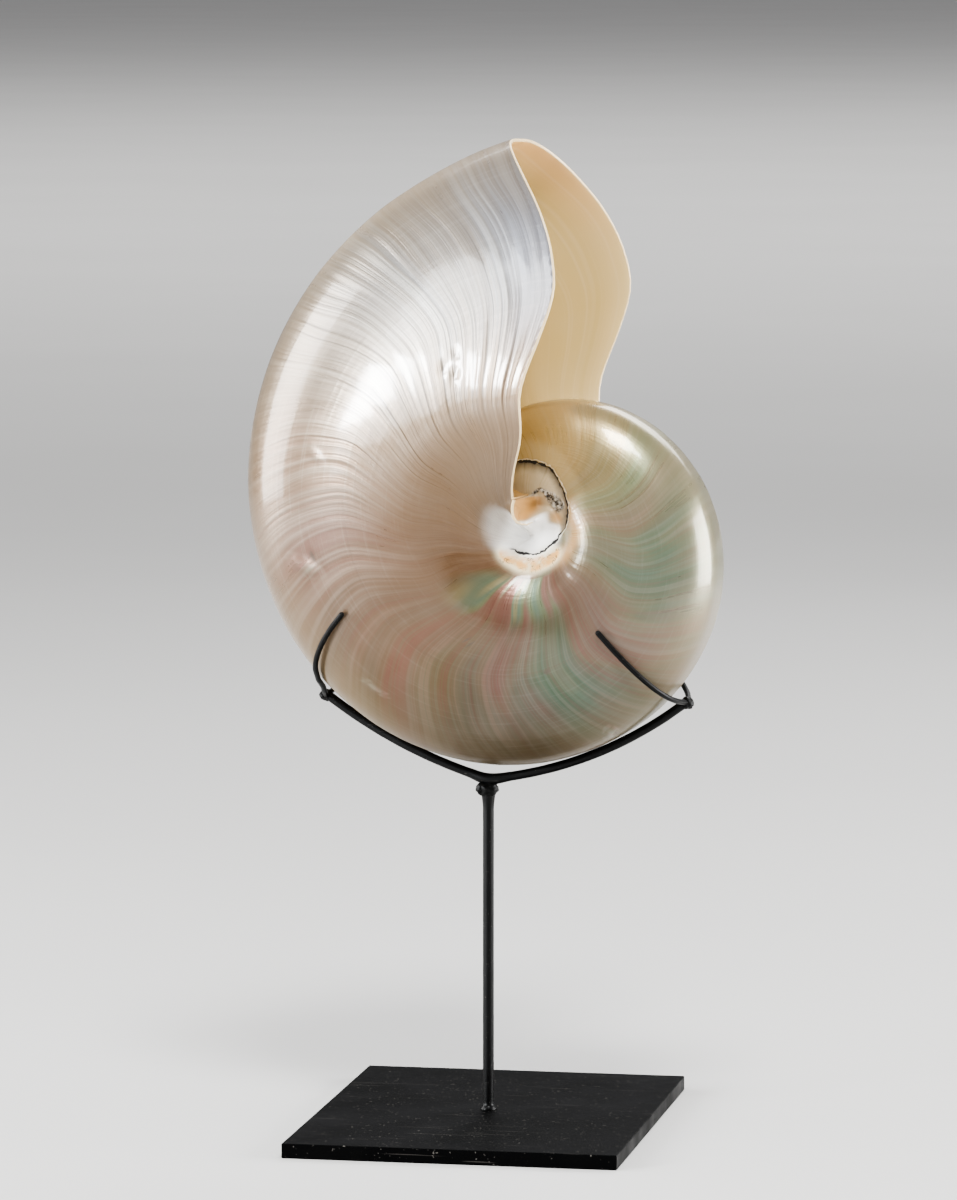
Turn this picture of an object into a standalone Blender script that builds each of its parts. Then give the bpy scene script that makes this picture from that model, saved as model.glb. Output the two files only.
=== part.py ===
"""Whole pearl nautilus shell resting in a wire cradle on a post and a flat base plate.

The shell is one hollow spiral: an open living chamber behind the lip, a domed partition, and the closed
coil behind it. Metres, +Z up, origin at the centre of the base plate's underside, front edge of the plate
along +X, viewer on the -Y side.
"""
import math

import bmesh
import bpy
import numpy as np
from mathutils import Matrix, Vector

MM = 0.001

# Base plate and post
PLATE_WIDTH = 90.0 * MM
PLATE_DEPTH = 117.0 * MM
PLATE_THICKNESS = 4.0 * MM
PLATE_EDGE_ROUND = 0.3 * MM
POST_RADIUS = 1.5 * MM
POST_TOP = 92.2 * MM
POST_SIDES = 24
WELD_RADIUS = 2.7 * MM
WELD_HALF_HEIGHT = 1.7 * MM
WELD_CENTRE_HEIGHT = 91.2 * MM
CLEARANCE = 0.3 * MM

# Keel rod of the cradle: two shallow arcs that meet over the post
KEEL_RADIUS = 1.25 * MM
KEEL_BOTTOM = 94.6 * MM
KEEL_LEFT_SAG = 2.2 * MM
KEEL_RIGHT_SAG = 3.9 * MM
KEEL_STEPS = 9
KEEL_END_GAP = 0.55 * MM

# Clasp wires that cross the keel's ends and lie along both flanks of the shell
WIRE_RADIUS = 0.75 * MM
WIRE_END_STANDOFF = 1.15 * MM
WIRE_STEPS = 12
LEFT_WIRE = {"from": -121.0, "to": -108.3, "reach": 53.0, "standoff": 4.2 * MM}
RIGHT_WIRE = {"from": -215.7, "to": -213.4, "reach": 66.5, "standoff": 4.7 * MM}

# Shell: growth angles are in degrees, 0 at the lip and negative towards the apex
SPIRAL_CENTRE = Vector((15.9, 1.6, 161.4)) * MM
SHELL_TURN = -4.14
SHELL_LEAN = -2.4
LIP_RADIUS = 104.1 * MM
WHORL_GROWTH = 2.933
LIP_DIRECTION = 94.9
LIP_FLARE = 0.023
FLARE_REACH = 18.7
HALF_WIDTH = 0.411
WIDEST_AT = 0.324
BACK_ROUNDNESS = 1.09
FLANK_ROUNDNESS = 0.627
UMBILICUS_DEPTH = 0.48
UMBILICUS_CURVE = 1.33
AXIS_CORE = 2.5 * MM
# Lead of the lip ahead of the growth angle 0, by distance from the spiral centre as a share of the radius
LIP_LEAD = ((0.0, -26.0), (0.1, -5.5), (0.22, 10.5), (0.36, 9.5), (0.58, 14.7), (0.78, 8.9), (1.0, 0.0))
LIP_BLEND = 60.0
WALL = 1.6 * MM
CALLUS_PLUG_RADIUS = 3.4 * MM
CALLUS_PLUG_LENGTH = 28.0 * MM

JOIN_ANGLE = -180.0
INNER_COIL_END = -500.0
OUTER_STEP = 7.2
INNER_STEP = 9.0
BACK_POINTS = 11
UMBILICUS_POINTS = 3
# Hollows: gaps to the outer wall and to the whorl inside, and how near the axis they reach
CHAMBER_FIT = {"wall": WALL, "floor": -3.0 * MM, "callus": 0.12}
CHAMBER_BACK = -140.0
CHAMBER_FRONT = 26.0
CHAMBER_STEP = 8.3
CHAMBER_POINTS = 11
COIL_FIT = {"wall": WALL, "floor": WALL, "callus": 0.13}
COIL_FRONT = -138.0
COIL_BACK = -470.0
COIL_STEP = 12.0
COIL_POINTS = 7
# Domed partition between them, as (growth angle, size) rings on its front and its rear
PARTITION_FIT = {"wall": 0.8 * MM, "floor": -0.7 * MM, "callus": 0.10}
PARTITION_FACE = ((-140.0, 0.06), (-139.2, 0.36), (-136.3, 0.64), (-131.5, 0.86), (-125.0, 1.0))
PARTITION_REAR = ((-127.2, 1.0), (-133.8, 0.88), (-138.8, 0.66), (-141.8, 0.38), (-142.6, 0.06))
PARTITION_POINTS = 7
SIPHON_OUT = 0.66
SIPHON_RADIUS = 1.6 * MM
SIPHON_LENGTH = 16.0 * MM


def start_collection(name, hidden=False):
    """Makes a collection, hidden from renders when it holds cutters."""
    group = bpy.data.collections.new(name)
    bpy.context.scene.collection.children.link(group)
    group.hide_render = hidden
    return group


def clear_scene():
    """Empties the scene before anything is made."""
    for item in list(bpy.data.objects):
        bpy.data.objects.remove(item, do_unlink=True)
    for group in list(bpy.data.collections):
        bpy.data.collections.remove(group)


def material(name, colour, roughness, metallic):
    """Plain material with a colour, a roughness and a metallic value."""
    made = bpy.data.materials.new(name)
    made.use_nodes = True
    shader = made.node_tree.nodes["Principled BSDF"]
    shader.inputs["Base Color"].default_value = (*colour, 1.0)
    shader.inputs["Roughness"].default_value = roughness
    shader.inputs["Metallic"].default_value = metallic
    return made


def put(name, mesh_builder, group, look=None):
    """Turns a finished bmesh into a named object."""
    mesh = bpy.data.meshes.new(name)
    mesh_builder.to_mesh(mesh)
    mesh_builder.free()
    item = bpy.data.objects.new(name, mesh)
    group.objects.link(item)
    if look is not None:
        mesh.materials.append(look)
    return item


def combine(target, tool, operation):
    """Applies one Boolean to the target and hides the tool."""
    step = target.modifiers.new(operation.lower(), "BOOLEAN")
    step.operation = operation
    step.solver = "EXACT"
    step.object = tool
    tool.display_type = "WIRE"
    bpy.context.view_layer.update()
    graph = bpy.context.evaluated_depsgraph_get()
    mesh = bpy.data.meshes.new_from_object(target.evaluated_get(graph))
    target.modifiers.remove(step)
    target.data = mesh


def whorl_radius(angle):
    """Distance from the spiral centre to the back of the whorl at a growth angle."""
    growth = math.exp(math.log(WHORL_GROWTH) / 360.0 * angle)
    return LIP_RADIUS * growth * (1.0 + LIP_FLARE * math.exp(min(angle, 25.0) / FLARE_REACH))


def half_section(radius, back_points, umbilicus_points):
    """Half of the whorl's section from its back to the umbilicus, as shares of the whorl's radius."""
    turn = np.radians(90.0) * (np.arange(back_points + 1) / back_points) ** 1.2
    out = WIDEST_AT + (1.0 - WIDEST_AT) * np.cos(turn) ** BACK_ROUNDNESS
    across = HALF_WIDTH * np.sin(turn) ** FLANK_ROUNDNESS
    out[-1] = WIDEST_AT
    inward = np.linspace(0.0, 1.0, umbilicus_points + 1)[1:]
    low = WIDEST_AT + (AXIS_CORE / radius - WIDEST_AT) * inward
    low_across = HALF_WIDTH * (1.0 - UMBILICUS_DEPTH * (1.0 - low / WIDEST_AT) ** UMBILICUS_CURVE)
    return np.concatenate([out, low]), np.concatenate([across, low_across])


def lip_lead(share):
    """Growth angle by which the lip runs ahead, smooth between the stated stations."""
    stations = np.array(LIP_LEAD)
    x, y = stations[:, 0], stations[:, 1]
    slope = np.gradient(y, x)
    k = int(np.clip(np.searchsorted(x, share) - 1, 0, len(x) - 2))
    width = x[k + 1] - x[k]
    t = (share - x[k]) / width
    a = (2 * t ** 3 - 3 * t ** 2 + 1) * y[k] + (t ** 3 - 2 * t ** 2 + t) * width * slope[k]
    return a + (3 * t ** 2 - 2 * t ** 3) * y[k + 1] + (t ** 3 - t ** 2) * width * slope[k + 1]


def shell_placement():
    """Moves the shell from its own frame (spiral in the XZ plane) onto the stand."""
    turn = Matrix.Rotation(math.radians(SHELL_TURN), 4, "Z")
    lean = Matrix.Rotation(math.radians(SHELL_LEAN), 4, "X")
    return Matrix.Translation(SPIRAL_CENTRE) @ turn @ lean


def spiral_point(angle, out, across):
    """Point of the shell's frame at a growth angle, out from the axis and across to the viewer's side."""
    direction = math.radians(LIP_DIRECTION - angle)
    return Vector((out * math.cos(direction), -across, out * math.sin(direction)))


def loft(name, rings, cap_pairs, group):
    """Closed solid through rings of equal length; caps are strips between the paired points."""
    work = bmesh.new()
    rows = [[work.verts.new(point) for point in ring] for ring in rings]
    count = len(rows[0])
    for first, second in zip(rows, rows[1:]):
        for k in range(count):
            nxt = (k + 1) % count
            work.faces.new((first[k], first[nxt], second[nxt], second[k]))
    for row, flip in ((rows[0], True), (rows[-1], False)):
        for (a, b), (c, d) in zip(cap_pairs, cap_pairs[1:]):
            corners = list(dict.fromkeys((a, b, d, c)))
            corner_verts = [row[i] for i in corners]
            work.faces.new(reversed(corner_verts) if flip else corner_verts)
    bmesh.ops.recalc_face_normals(work, faces=work.faces)
    bmesh.ops.triangulate(work, faces=work.faces)
    return put(name, work, group)


def whorl_solid(name, angles, with_lip, group):
    """Filled part of the coil, from near the axis out to the shell's outer surface."""
    rings = []
    for angle in angles:
        blend = max(0.0, 1.0 + angle / LIP_BLEND) if with_lip else 0.0
        near, far = [], []
        for o, a in zip(*half_section(whorl_radius(angle), BACK_POINTS, UMBILICUS_POINTS)):
            here = angle + blend * lip_lead(float(o))
            radius = whorl_radius(here)
            near.append(spiral_point(here, o * radius, a * radius))
            far.append(spiral_point(here, o * radius, -a * radius))
        rings.append(near + far[:0:-1])
    total = len(rings[0])
    pairs = [(0, 0)] + [(k, total - k) for k in range(1, total // 2 + 1)]
    return loft(name, rings, pairs, group)


def offset(curve, distance):
    """Shifts an open curve sideways, to the left of its direction."""
    along = np.gradient(curve, axis=0)
    along /= np.linalg.norm(along, axis=1)[:, None]
    return curve + distance * np.stack([-along[:, 1], along[:, 0]], axis=1)


def even_points(curve, shares):
    """Points of a curve at shares of its length."""
    steps = np.concatenate([[0.0], np.cumsum(np.linalg.norm(np.diff(curve, axis=0), axis=1))])
    want = np.asarray(shares) * steps[-1]
    return np.stack([np.interp(want, steps, curve[:, 0]), np.interp(want, steps, curve[:, 1])], axis=1)


def hollow_ring(angle, size, fit, points):
    """Ring of (out, across) between this whorl's wall and the whorl inside it, shrunk to its middle line by size."""
    radius = whorl_radius(angle)
    shares = np.linspace(0.0, 1.0, points) * min(size, 1.0)
    rails = []
    for scale, gap in ((radius, fit["wall"]), (whorl_radius(angle - 360.0), -fit["floor"])):
        half = np.stack(half_section(scale, 60, 30), axis=1) * scale
        rail = offset(half, gap)
        rail = rail[rail[:, 0] > fit["callus"] * radius]
        rail[0, 1] = 0.0
        rails.append(even_points(rail, shares))
    middle = 0.5 * (rails[0] + rails[1])
    mirror = np.array([1.0, -1.0])
    full = []
    for rail in rails:
        rail = middle + (rail - middle) * size
        full.append(np.concatenate([rail[::-1], rail[1:] * mirror]))
    return np.concatenate([full[0], full[1][::-1]])


def hollow_solid(name, stations, fit, points, group):
    """Solid horn through (growth angle, size) stations, used to hollow the coil or to close it."""
    rings = []
    for angle, size in stations:
        ring = hollow_ring(angle, size, fit, points)
        rings.append([spiral_point(angle, float(o), float(a)) for o, a in ring])
    total = len(rings[0])
    pairs = [(k, total - 1 - k) for k in range(total // 2)]
    return loft(name, rings, pairs, group)


def even_stations(start, end, step):
    """Full-size stations from one growth angle to another."""
    count = round(abs(end - start) / step)
    return [(angle, 1.0) for angle in np.linspace(start, end, count + 1)]


def round_bar(name, radius, length, segments, place, group):
    """Plain cylinder used as a cutter or a plug."""
    work = bmesh.new()
    bmesh.ops.create_cone(work, cap_ends=True, segments=segments, radius1=radius, radius2=radius,
                          depth=length, matrix=place)
    return put(name, work, group)


def make_shell(group, cutters, look):
    """One-piece shell: coil, living chamber, domed partition with its siphon hole, hollow coil."""
    outer_angles = np.linspace(JOIN_ANGLE, 0.0, round(-JOIN_ANGLE / OUTER_STEP) + 1)
    inner_angles = np.linspace(INNER_COIL_END, JOIN_ANGLE, round((JOIN_ANGLE - INNER_COIL_END) / INNER_STEP) + 1)
    shell = whorl_solid("nautilus_shell", outer_angles, True, group)
    inner = whorl_solid("inner_coil", inner_angles, False, cutters)

    chamber = even_stations(CHAMBER_BACK, CHAMBER_FRONT, CHAMBER_STEP)
    chamber_cutter = hollow_solid("living_chamber", chamber, CHAMBER_FIT, CHAMBER_POINTS, cutters)
    combine(shell, chamber_cutter, "DIFFERENCE")
    combine(shell, inner, "UNION")
    across = Matrix.Rotation(math.radians(90.0), 4, "X")
    plug = round_bar("callus_plug", CALLUS_PLUG_RADIUS, CALLUS_PLUG_LENGTH, 16, across, cutters)
    combine(shell, plug, "UNION")
    coil = even_stations(COIL_FRONT, COIL_BACK, COIL_STEP)
    combine(shell, hollow_solid("hollow_coil", coil, COIL_FIT, COIL_POINTS, cutters), "DIFFERENCE")
    partition = PARTITION_FACE + PARTITION_REAR
    wall = hollow_solid("partition", partition, PARTITION_FIT, PARTITION_POINTS, cutters)
    combine(shell, wall, "UNION")

    siphon_angle = 0.5 * (PARTITION_FACE[0][0] + PARTITION_REAR[-1][0])
    siphon_at = spiral_point(siphon_angle, SIPHON_OUT * whorl_radius(siphon_angle), 0.0)
    heading = Matrix.Rotation(-math.radians(LIP_DIRECTION - siphon_angle), 4, "Y")
    place = Matrix.Translation(siphon_at) @ heading
    combine(shell, round_bar("siphon_hole", SIPHON_RADIUS, SIPHON_LENGTH, 12, place, cutters), "DIFFERENCE")

    work = bmesh.new()
    work.from_mesh(shell.data)
    work.transform(shell_placement())
    bmesh.ops.triangulate(work, faces=work.faces)
    work.to_mesh(shell.data)
    work.free()
    shell.data.materials.clear()
    shell.data.materials.append(look)


def flank_point(angle, turn, side, standoff):
    """Point at a standoff from the shell's outer surface; turn is 0 at the back, 90 at the widest place."""
    def surface(at, around):
        around = math.radians(around)
        radius = whorl_radius(at)
        out = WIDEST_AT + (1.0 - WIDEST_AT) * math.cos(around) ** BACK_ROUNDNESS
        across = HALF_WIDTH * math.sin(around) ** FLANK_ROUNDNESS
        return spiral_point(at, out * radius, side * across * radius)

    turn = max(turn, 0.01)
    here = surface(angle, turn)
    along = surface(angle + 0.5, turn) - surface(angle - 0.5, turn)
    around = surface(angle, turn + 0.005) - surface(angle, turn - 0.005)
    normal = along.cross(around).normalized()
    if normal.dot(here) < 0.0:
        normal = -normal
    return here + normal * standoff


def wire_route(wire):
    """Centre line of a clasp wire from one flank, under the back of the shell, to the other flank."""
    place = shell_placement()
    arms = {}
    for side in (1.0, -1.0):
        arm = []
        for k in range(WIRE_STEPS + 1):
            q = k / WIRE_STEPS
            angle = wire["from"] + (wire["to"] - wire["from"]) * q * q
            standoff = wire["standoff"] + (WIRE_END_STANDOFF - wire["standoff"]) * q ** 0.7
            arm.append(place @ flank_point(angle, wire["reach"] * q ** 1.5, side, standoff))
        arms[side] = arm
    return arms[1.0][:0:-1] + arms[-1.0]


def keel_route():
    """Centre line of the keel rod: two arcs from over the post to just short of each clasp wire."""
    start = Vector((0.0, 0.0, KEEL_BOTTOM))
    arms = []
    for wire, sag in ((LEFT_WIRE, KEEL_LEFT_SAG), (RIGHT_WIRE, KEEL_RIGHT_SAG)):
        crossing = wire_route(wire)[WIRE_STEPS]
        inward = (start - crossing).normalized()
        end = crossing + inward * (WIRE_RADIUS + KEEL_END_GAP)
        below = (Vector((0.0, 0.0, -1.0)) + inward * inward.z).normalized()
        arm = []
        for k in range(KEEL_STEPS + 1):
            q = k / KEEL_STEPS
            arm.append(start.lerp(end, q) + below * (4.0 * sag * q * (1.0 - q)))
        arms.append(arm)
    return arms[0][:0:-1] + arms[1]


def rod(name, points, radius, group, look):
    """Round rod along a list of points, closed at both ends."""
    curve = bpy.data.curves.new(name + "_line", "CURVE")
    curve.dimensions = "3D"
    curve.bevel_depth = radius
    curve.bevel_resolution = 2
    curve.use_fill_caps = True
    line = curve.splines.new("POLY")
    line.points.add(len(points) - 1)
    for target, point in zip(line.points, points):
        target.co = (*point, 1.0)
    guide = bpy.data.objects.new(name + "_line", curve)
    group.objects.link(guide)
    bpy.context.view_layer.update()
    graph = bpy.context.evaluated_depsgraph_get()
    mesh = bpy.data.meshes.new_from_object(guide.evaluated_get(graph))
    bpy.data.objects.remove(guide, do_unlink=True)
    work = bmesh.new()
    work.from_mesh(mesh)
    bmesh.ops.remove_doubles(work, verts=work.verts, dist=0.00005)
    bmesh.ops.recalc_face_normals(work, faces=work.faces)
    item = put(name, work, group)
    item.data.materials.clear()
    item.data.materials.append(look)
    return item


def make_plate(group, look):
    """Flat base plate with slightly eased edges."""
    work = bmesh.new()
    bmesh.ops.create_cube(work, size=1.0)
    bmesh.ops.scale(work, verts=work.verts, vec=(PLATE_WIDTH, PLATE_DEPTH, PLATE_THICKNESS))
    bmesh.ops.translate(work, verts=work.verts, vec=(0.0, 0.0, PLATE_THICKNESS / 2.0))
    bmesh.ops.bevel(work, geom=work.edges[:], offset=PLATE_EDGE_ROUND, segments=2, profile=0.5,
                    affect="EDGES", clamp_overlap=True)
    return put("base_plate", work, group, look)


def make_post(group, cutters, look):
    """Round post with the weld bead that carries the keel."""
    foot = PLATE_THICKNESS + CLEARANCE
    work = bmesh.new()
    bmesh.ops.create_cone(work, cap_ends=True, segments=POST_SIDES, radius1=POST_RADIUS,
                          radius2=POST_RADIUS, depth=POST_TOP - foot,
                          matrix=Matrix.Translation((0.0, 0.0, (POST_TOP + foot) / 2.0)))
    post = put("post", work, group, look)
    bead = bmesh.new()
    bmesh.ops.create_uvsphere(bead, u_segments=16, v_segments=8, radius=1.0)
    bmesh.ops.scale(bead, verts=bead.verts, vec=(WELD_RADIUS, WELD_RADIUS, WELD_HALF_HEIGHT))
    bmesh.ops.translate(bead, verts=bead.verts, vec=(0.0, 0.0, WELD_CENTRE_HEIGHT))
    combine(post, put("weld_bead", bead, cutters), "UNION")
    post.data.materials.clear()
    post.data.materials.append(look)


def main():
    """Builds the shell and its stand."""
    clear_scene()
    group = start_collection("nautilus_on_stand")
    cutters = start_collection("cutters", hidden=True)
    pearl = material("pearl", (0.78, 0.72, 0.66), 0.28, 0.0)
    black = material("black_metal", (0.012, 0.012, 0.013), 0.38, 0.0)
    make_plate(group, black)
    make_post(group, cutters, black)
    rod("cradle_keel", keel_route(), KEEL_RADIUS, group, black)
    rod("left_clasp_wire", wire_route(LEFT_WIRE), WIRE_RADIUS, group, black)
    rod("right_clasp_wire", wire_route(RIGHT_WIRE), WIRE_RADIUS, group, black)
    make_shell(group, cutters, pearl)


main()
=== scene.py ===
import math

import bmesh
import bpy
import numpy as np
from mathutils import Matrix, Vector, noise


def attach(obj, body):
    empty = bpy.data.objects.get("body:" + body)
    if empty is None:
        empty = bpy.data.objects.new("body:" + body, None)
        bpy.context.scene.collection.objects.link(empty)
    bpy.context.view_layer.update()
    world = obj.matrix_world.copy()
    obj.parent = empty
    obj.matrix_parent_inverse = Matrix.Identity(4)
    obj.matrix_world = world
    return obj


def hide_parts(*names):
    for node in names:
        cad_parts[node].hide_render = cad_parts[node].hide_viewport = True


# Polished pearl nautilus shell in a black wire cradle. Metres, +Z up, origin under the base plate's centre.
# The shell has a frame of its own: spiral centre at 0, viewer's side along -Y, growth angles in degrees, 0 at
# the lip and falling towards the older turns. A grid's columns run by growth angle, its rows from the far
# umbilicus over the back to the viewer's one.

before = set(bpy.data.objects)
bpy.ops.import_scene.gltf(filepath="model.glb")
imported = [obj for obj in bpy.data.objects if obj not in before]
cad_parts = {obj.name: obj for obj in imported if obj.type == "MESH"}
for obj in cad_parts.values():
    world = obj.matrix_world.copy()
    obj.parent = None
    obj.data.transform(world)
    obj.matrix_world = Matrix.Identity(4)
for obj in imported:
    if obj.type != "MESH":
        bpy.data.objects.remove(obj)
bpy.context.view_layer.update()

MM = 0.001

# The spiral, as the solids have it
SPIRAL_CENTRE = Vector((15.9, 1.6, 161.4)) * MM
SHELL_TURN = -4.14
SHELL_LEAN = -2.4
LIP_RADIUS = 104.1 * MM
WHORL_GROWTH = 2.933
LIP_DIRECTION = 94.9
LIP_FLARE = 0.023
FLARE_REACH = 18.7
FLARE_END = 25.0
HALF_WIDTH = 0.411
WIDEST_AT = 0.324
BACK_ROUNDNESS = 1.09
FLANK_ROUNDNESS = 0.627
UMBILICUS_DEPTH = 0.48
UMBILICUS_CURVE = 1.33
PROFILE_POINTS = 3000
PROFILE_CROWDING = 1.15
PROFILE_SOFTNESS = 0.15

# Lead of the lip ahead of growth angle 0, in degrees, by depth from the whorl's back as a share of its radius
LIP_DEPTHS = (0.0, 0.04, 0.12, 0.22, 0.32, 0.42, 0.52, 0.64, 0.78, 0.90, 1.0)
LIP_LEADS = (0.0, 1.61, 4.8, 8.92, 12.5, 14.76, 13.3, 9.2, 8.6, -9.2, -28.0)
LIP_BLEND = 60.0

# Sheets of the skin
CORE_RADIUS = 11.0 * MM
CORE_RINGS = 24
BACK_STEPS = 78
FINE_LIP_END = -42.0
COIL_END = -500.0
LINING_LIP_END = -24.0
CHAMBER_END = -128.0
WALL = 1.6 * MM
LIP_WALL = 0.9 * MM
THINNING = 26.0
FILLET_STEPS = 10
FILLET_SINK = 0.75 * MM
LIP_TURNS = (30.0, 65.0, 115.0, 150.0)
CLIFF_SHARE = 0.93
OUTSIDE, LINING, LIP, PARTITION = range(4)
FAR_SIDE, NEAR_SIDE = (-1, 0), (1, -1)

# Domed partition and the siphon's neck, in growth degrees, shares of the radius and mm
PARTITION_ANGLE = -132.0
PARTITION_DEPTH = 14.0
PARTITION_GRID = (121, 45)
SIPHON_AT = 0.66
NECK_EDGE = (-2.4, -1.5)
NECK_TURN = 5.5
COLLAR_OUT, COLLAR_WIDTH, COLLAR_TURN = 2.5, 0.5, 0.5


# The shell's curves

def whorl_radius(angle):
    """Distance from the spiral centre to the back of the whorl."""
    growth = np.exp(math.log(WHORL_GROWTH) / 360.0 * angle)
    return LIP_RADIUS * growth * (1.0 + LIP_FLARE * np.exp(np.minimum(angle, FLARE_END) / FLARE_REACH))


def ease(x, low, high):
    """0 below low, 1 above high, smooth between."""
    t = np.clip((x - low) / (high - low), 0.0, 1.0)
    return t * t * (3.0 - 2.0 * t)


def bump(x, centre, width):
    return np.exp(-((x - centre) / width) ** 2)


def flank_shares(turn):
    """Shares of the radius out and across; turn is 0 at the whorl's back and 90 at its widest place."""
    turn = np.radians(turn)
    out = WIDEST_AT + (1.0 - WIDEST_AT) * np.cos(turn) ** BACK_ROUNDNESS
    return out, HALF_WIDTH * np.sin(turn) ** FLANK_ROUNDNESS


def section_profile():
    """Half section from the back (0) to the axis (1) of its length: share out, share across."""
    even = np.linspace(0.0, 1.0, PROFILE_POINTS // 2)
    out, across = flank_shares(90.0 * even ** PROFILE_CROWDING)
    low = WIDEST_AT * (1.0 - even[1:])
    low_across = HALF_WIDTH * (1.0 - UMBILICUS_DEPTH * even[1:] ** UMBILICUS_CURVE)
    out, across = np.concatenate([out, low]), np.concatenate([across, low_across])
    length = np.concatenate([[0.0], np.cumsum(np.hypot(np.diff(out), np.diff(across)))])
    even = np.linspace(0.0, length[-1], PROFILE_POINTS)
    out, across = np.interp(even, length, out), np.interp(even, length, across)
    reach = int(PROFILE_POINTS * PROFILE_SOFTNESS)
    weights = np.exp(-np.linspace(-2.5, 2.5, 2 * reach + 1) ** 2)
    weights /= weights.sum()
    soft = []
    for values, mirror in ((out, 1.0), (across, -1.0)):
        tail = 2.0 * values[-1] - values[-reach - 1:-1][::-1]
        padded = np.concatenate([mirror * values[1:reach + 1][::-1], values, tail])
        soft.append(np.convolve(padded, weights, mode="valid"))
    keep = ease(even / length[-1], 0.02, 0.30)
    return even / length[-1], out + keep * (soft[0] - out), across + keep * (soft[1] - across)


PROFILE_LENGTH, PROFILE_OUT, PROFILE_ACROSS = section_profile()


def smooth_curve(x, stations, values):
    """Cubic through the stations, without overshoot worth seeing."""
    stations, values = np.array(stations), np.array(values)
    slope = np.gradient(values, stations)
    k = np.clip(np.searchsorted(stations, x) - 1, 0, len(stations) - 2)
    width = stations[k + 1] - stations[k]
    t = np.clip((x - stations[k]) / width, 0.0, 1.0)
    start = (2 * t ** 3 - 3 * t ** 2 + 1) * values[k] + (t ** 3 - 2 * t ** 2 + t) * width * slope[k]
    return start + (3 * t ** 2 - 2 * t ** 3) * values[k + 1] + (t ** 3 - t ** 2) * width * slope[k + 1]


def lip_lead(out):
    return smooth_curve(1.0 - out, LIP_DEPTHS, LIP_LEADS)


def spiral_points(angle, out, across):
    """Points of the shell's frame: growth angle in degrees, distance out from the axis, distance across."""
    direction = np.radians(LIP_DIRECTION - angle)
    return np.stack([out * np.cos(direction), -across, out * np.sin(direction)], axis=-1)


def whorl_sheet(columns, shares):
    """Grid of the whorl's outer surface, with its angles and shares."""
    lead = lip_lead(PROFILE_OUT)
    rows = {"here": [], "across_share": [], "out": [], "across": []}
    for column in columns:
        blend = max(0.0, 1.0 + column / LIP_BLEND)
        reach = PROFILE_OUT * whorl_radius(column + blend * lead)
        at = np.abs(shares) * np.interp(-CORE_RADIUS, -reach, PROFILE_LENGTH)
        out_share = np.interp(at, PROFILE_LENGTH, PROFILE_OUT)
        rows["here"].append(column + blend * lip_lead(out_share))
        rows["across_share"].append(at * np.sign(shares))
        rows["out"].append(out_share)
        rows["across"].append(np.interp(at, PROFILE_LENGTH, PROFILE_ACROSS) * np.sign(shares))
    grid = {name: np.array(values) for name, values in rows.items()}
    radius = whorl_radius(grid["here"])
    grid["points"] = spiral_points(grid["here"], grid["out"] * radius, grid["across"] * radius)
    grid["growth"] = grid["here"] - lip_lead(grid["out"])
    return grid


def sheet_normals(points):
    """Unit normals of a grid of points."""
    normal = np.cross(np.gradient(points, axis=0), np.gradient(points, axis=1))
    return normal / np.linalg.norm(normal, axis=-1, keepdims=True)


def grid_noise(points, scale, seed):
    """Smooth noise, about -1 to 1, at each point of an array."""
    flat = np.asarray(points).reshape(-1, 3) * scale + seed
    values = np.fromiter((noise.noise(p) for p in flat), float, len(flat))
    return values.reshape(np.asarray(points).shape[:-1])


# Meshes and objects

def link_object(name, data):
    made = bpy.data.objects.new(name, data)
    bpy.context.scene.collection.objects.link(made)
    return made


def finish_piece(name, mesh, merge=None):
    """Smooth object with its faces turned outwards; merge joins points that are closer than that."""
    work = bmesh.new()
    work.from_mesh(mesh)
    if merge:
        bmesh.ops.remove_doubles(work, verts=work.verts, dist=merge)
    bmesh.ops.recalc_face_normals(work, faces=work.faces)
    for face in work.faces:
        face.smooth = True
    work.to_mesh(mesh)
    work.free()
    return link_object(name, mesh)


class Skin:
    """Vertices, faces and the values that the finishes read."""

    VALUES = ("growth", "across", "rim_gap", "lined", "crumb", "peach", "callus", "stain", "scar", "depth")

    def __init__(self):
        self.points, self.faces, self.looks = [], [], []
        self.values = {name: [] for name in self.VALUES}
        self.count = 0

    def add(self, points, **values):
        """Adds points and returns their numbers in the same grid shape."""
        points = np.asarray(points, float)
        shape = points.shape[:-1]
        self.points.append(points.reshape(-1, 3))
        for name in self.VALUES:
            value = np.broadcast_to(np.asarray(values.get(name, 0.0), float), shape)
            self.values[name].append(value.reshape(-1))
        start, self.count = self.count, self.count + int(np.prod(shape))
        return np.arange(start, self.count).reshape(shape)

    def quads(self, numbers, look, flip=False):
        """Faces of a grid of vertex numbers."""
        corners = [numbers[:-1, :-1], numbers[1:, :-1], numbers[1:, 1:], numbers[:-1, 1:]]
        corners = np.stack(corners[::-1] if flip else corners, axis=-1).reshape(-1, 4)
        self.faces.append(corners)
        self.looks.append(np.full(len(corners), look))

    def build(self, name, placement, looks):
        matrix = np.array(placement)
        points = np.concatenate(self.points) @ matrix[:3, :3].T + matrix[:3, 3]
        faces = [list(dict.fromkeys(corners)) for corners in np.concatenate(self.faces).tolist()]
        kept = [k for k, face in enumerate(faces) if len(face) > 2]
        mesh = bpy.data.meshes.new(name)
        mesh.from_pydata(points.tolist(), [], [faces[k] for k in kept])
        for look in looks:
            mesh.materials.append(look)
        mesh.polygons.foreach_set("material_index", np.concatenate(self.looks)[kept].tolist())
        for value in self.VALUES:
            layer = mesh.attributes.new(value, "FLOAT", "POINT")
            layer.data.foreach_set("value", np.concatenate(self.values[value]).astype(np.float32))
        return finish_piece(name, mesh)


# Marks on the outside

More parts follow.
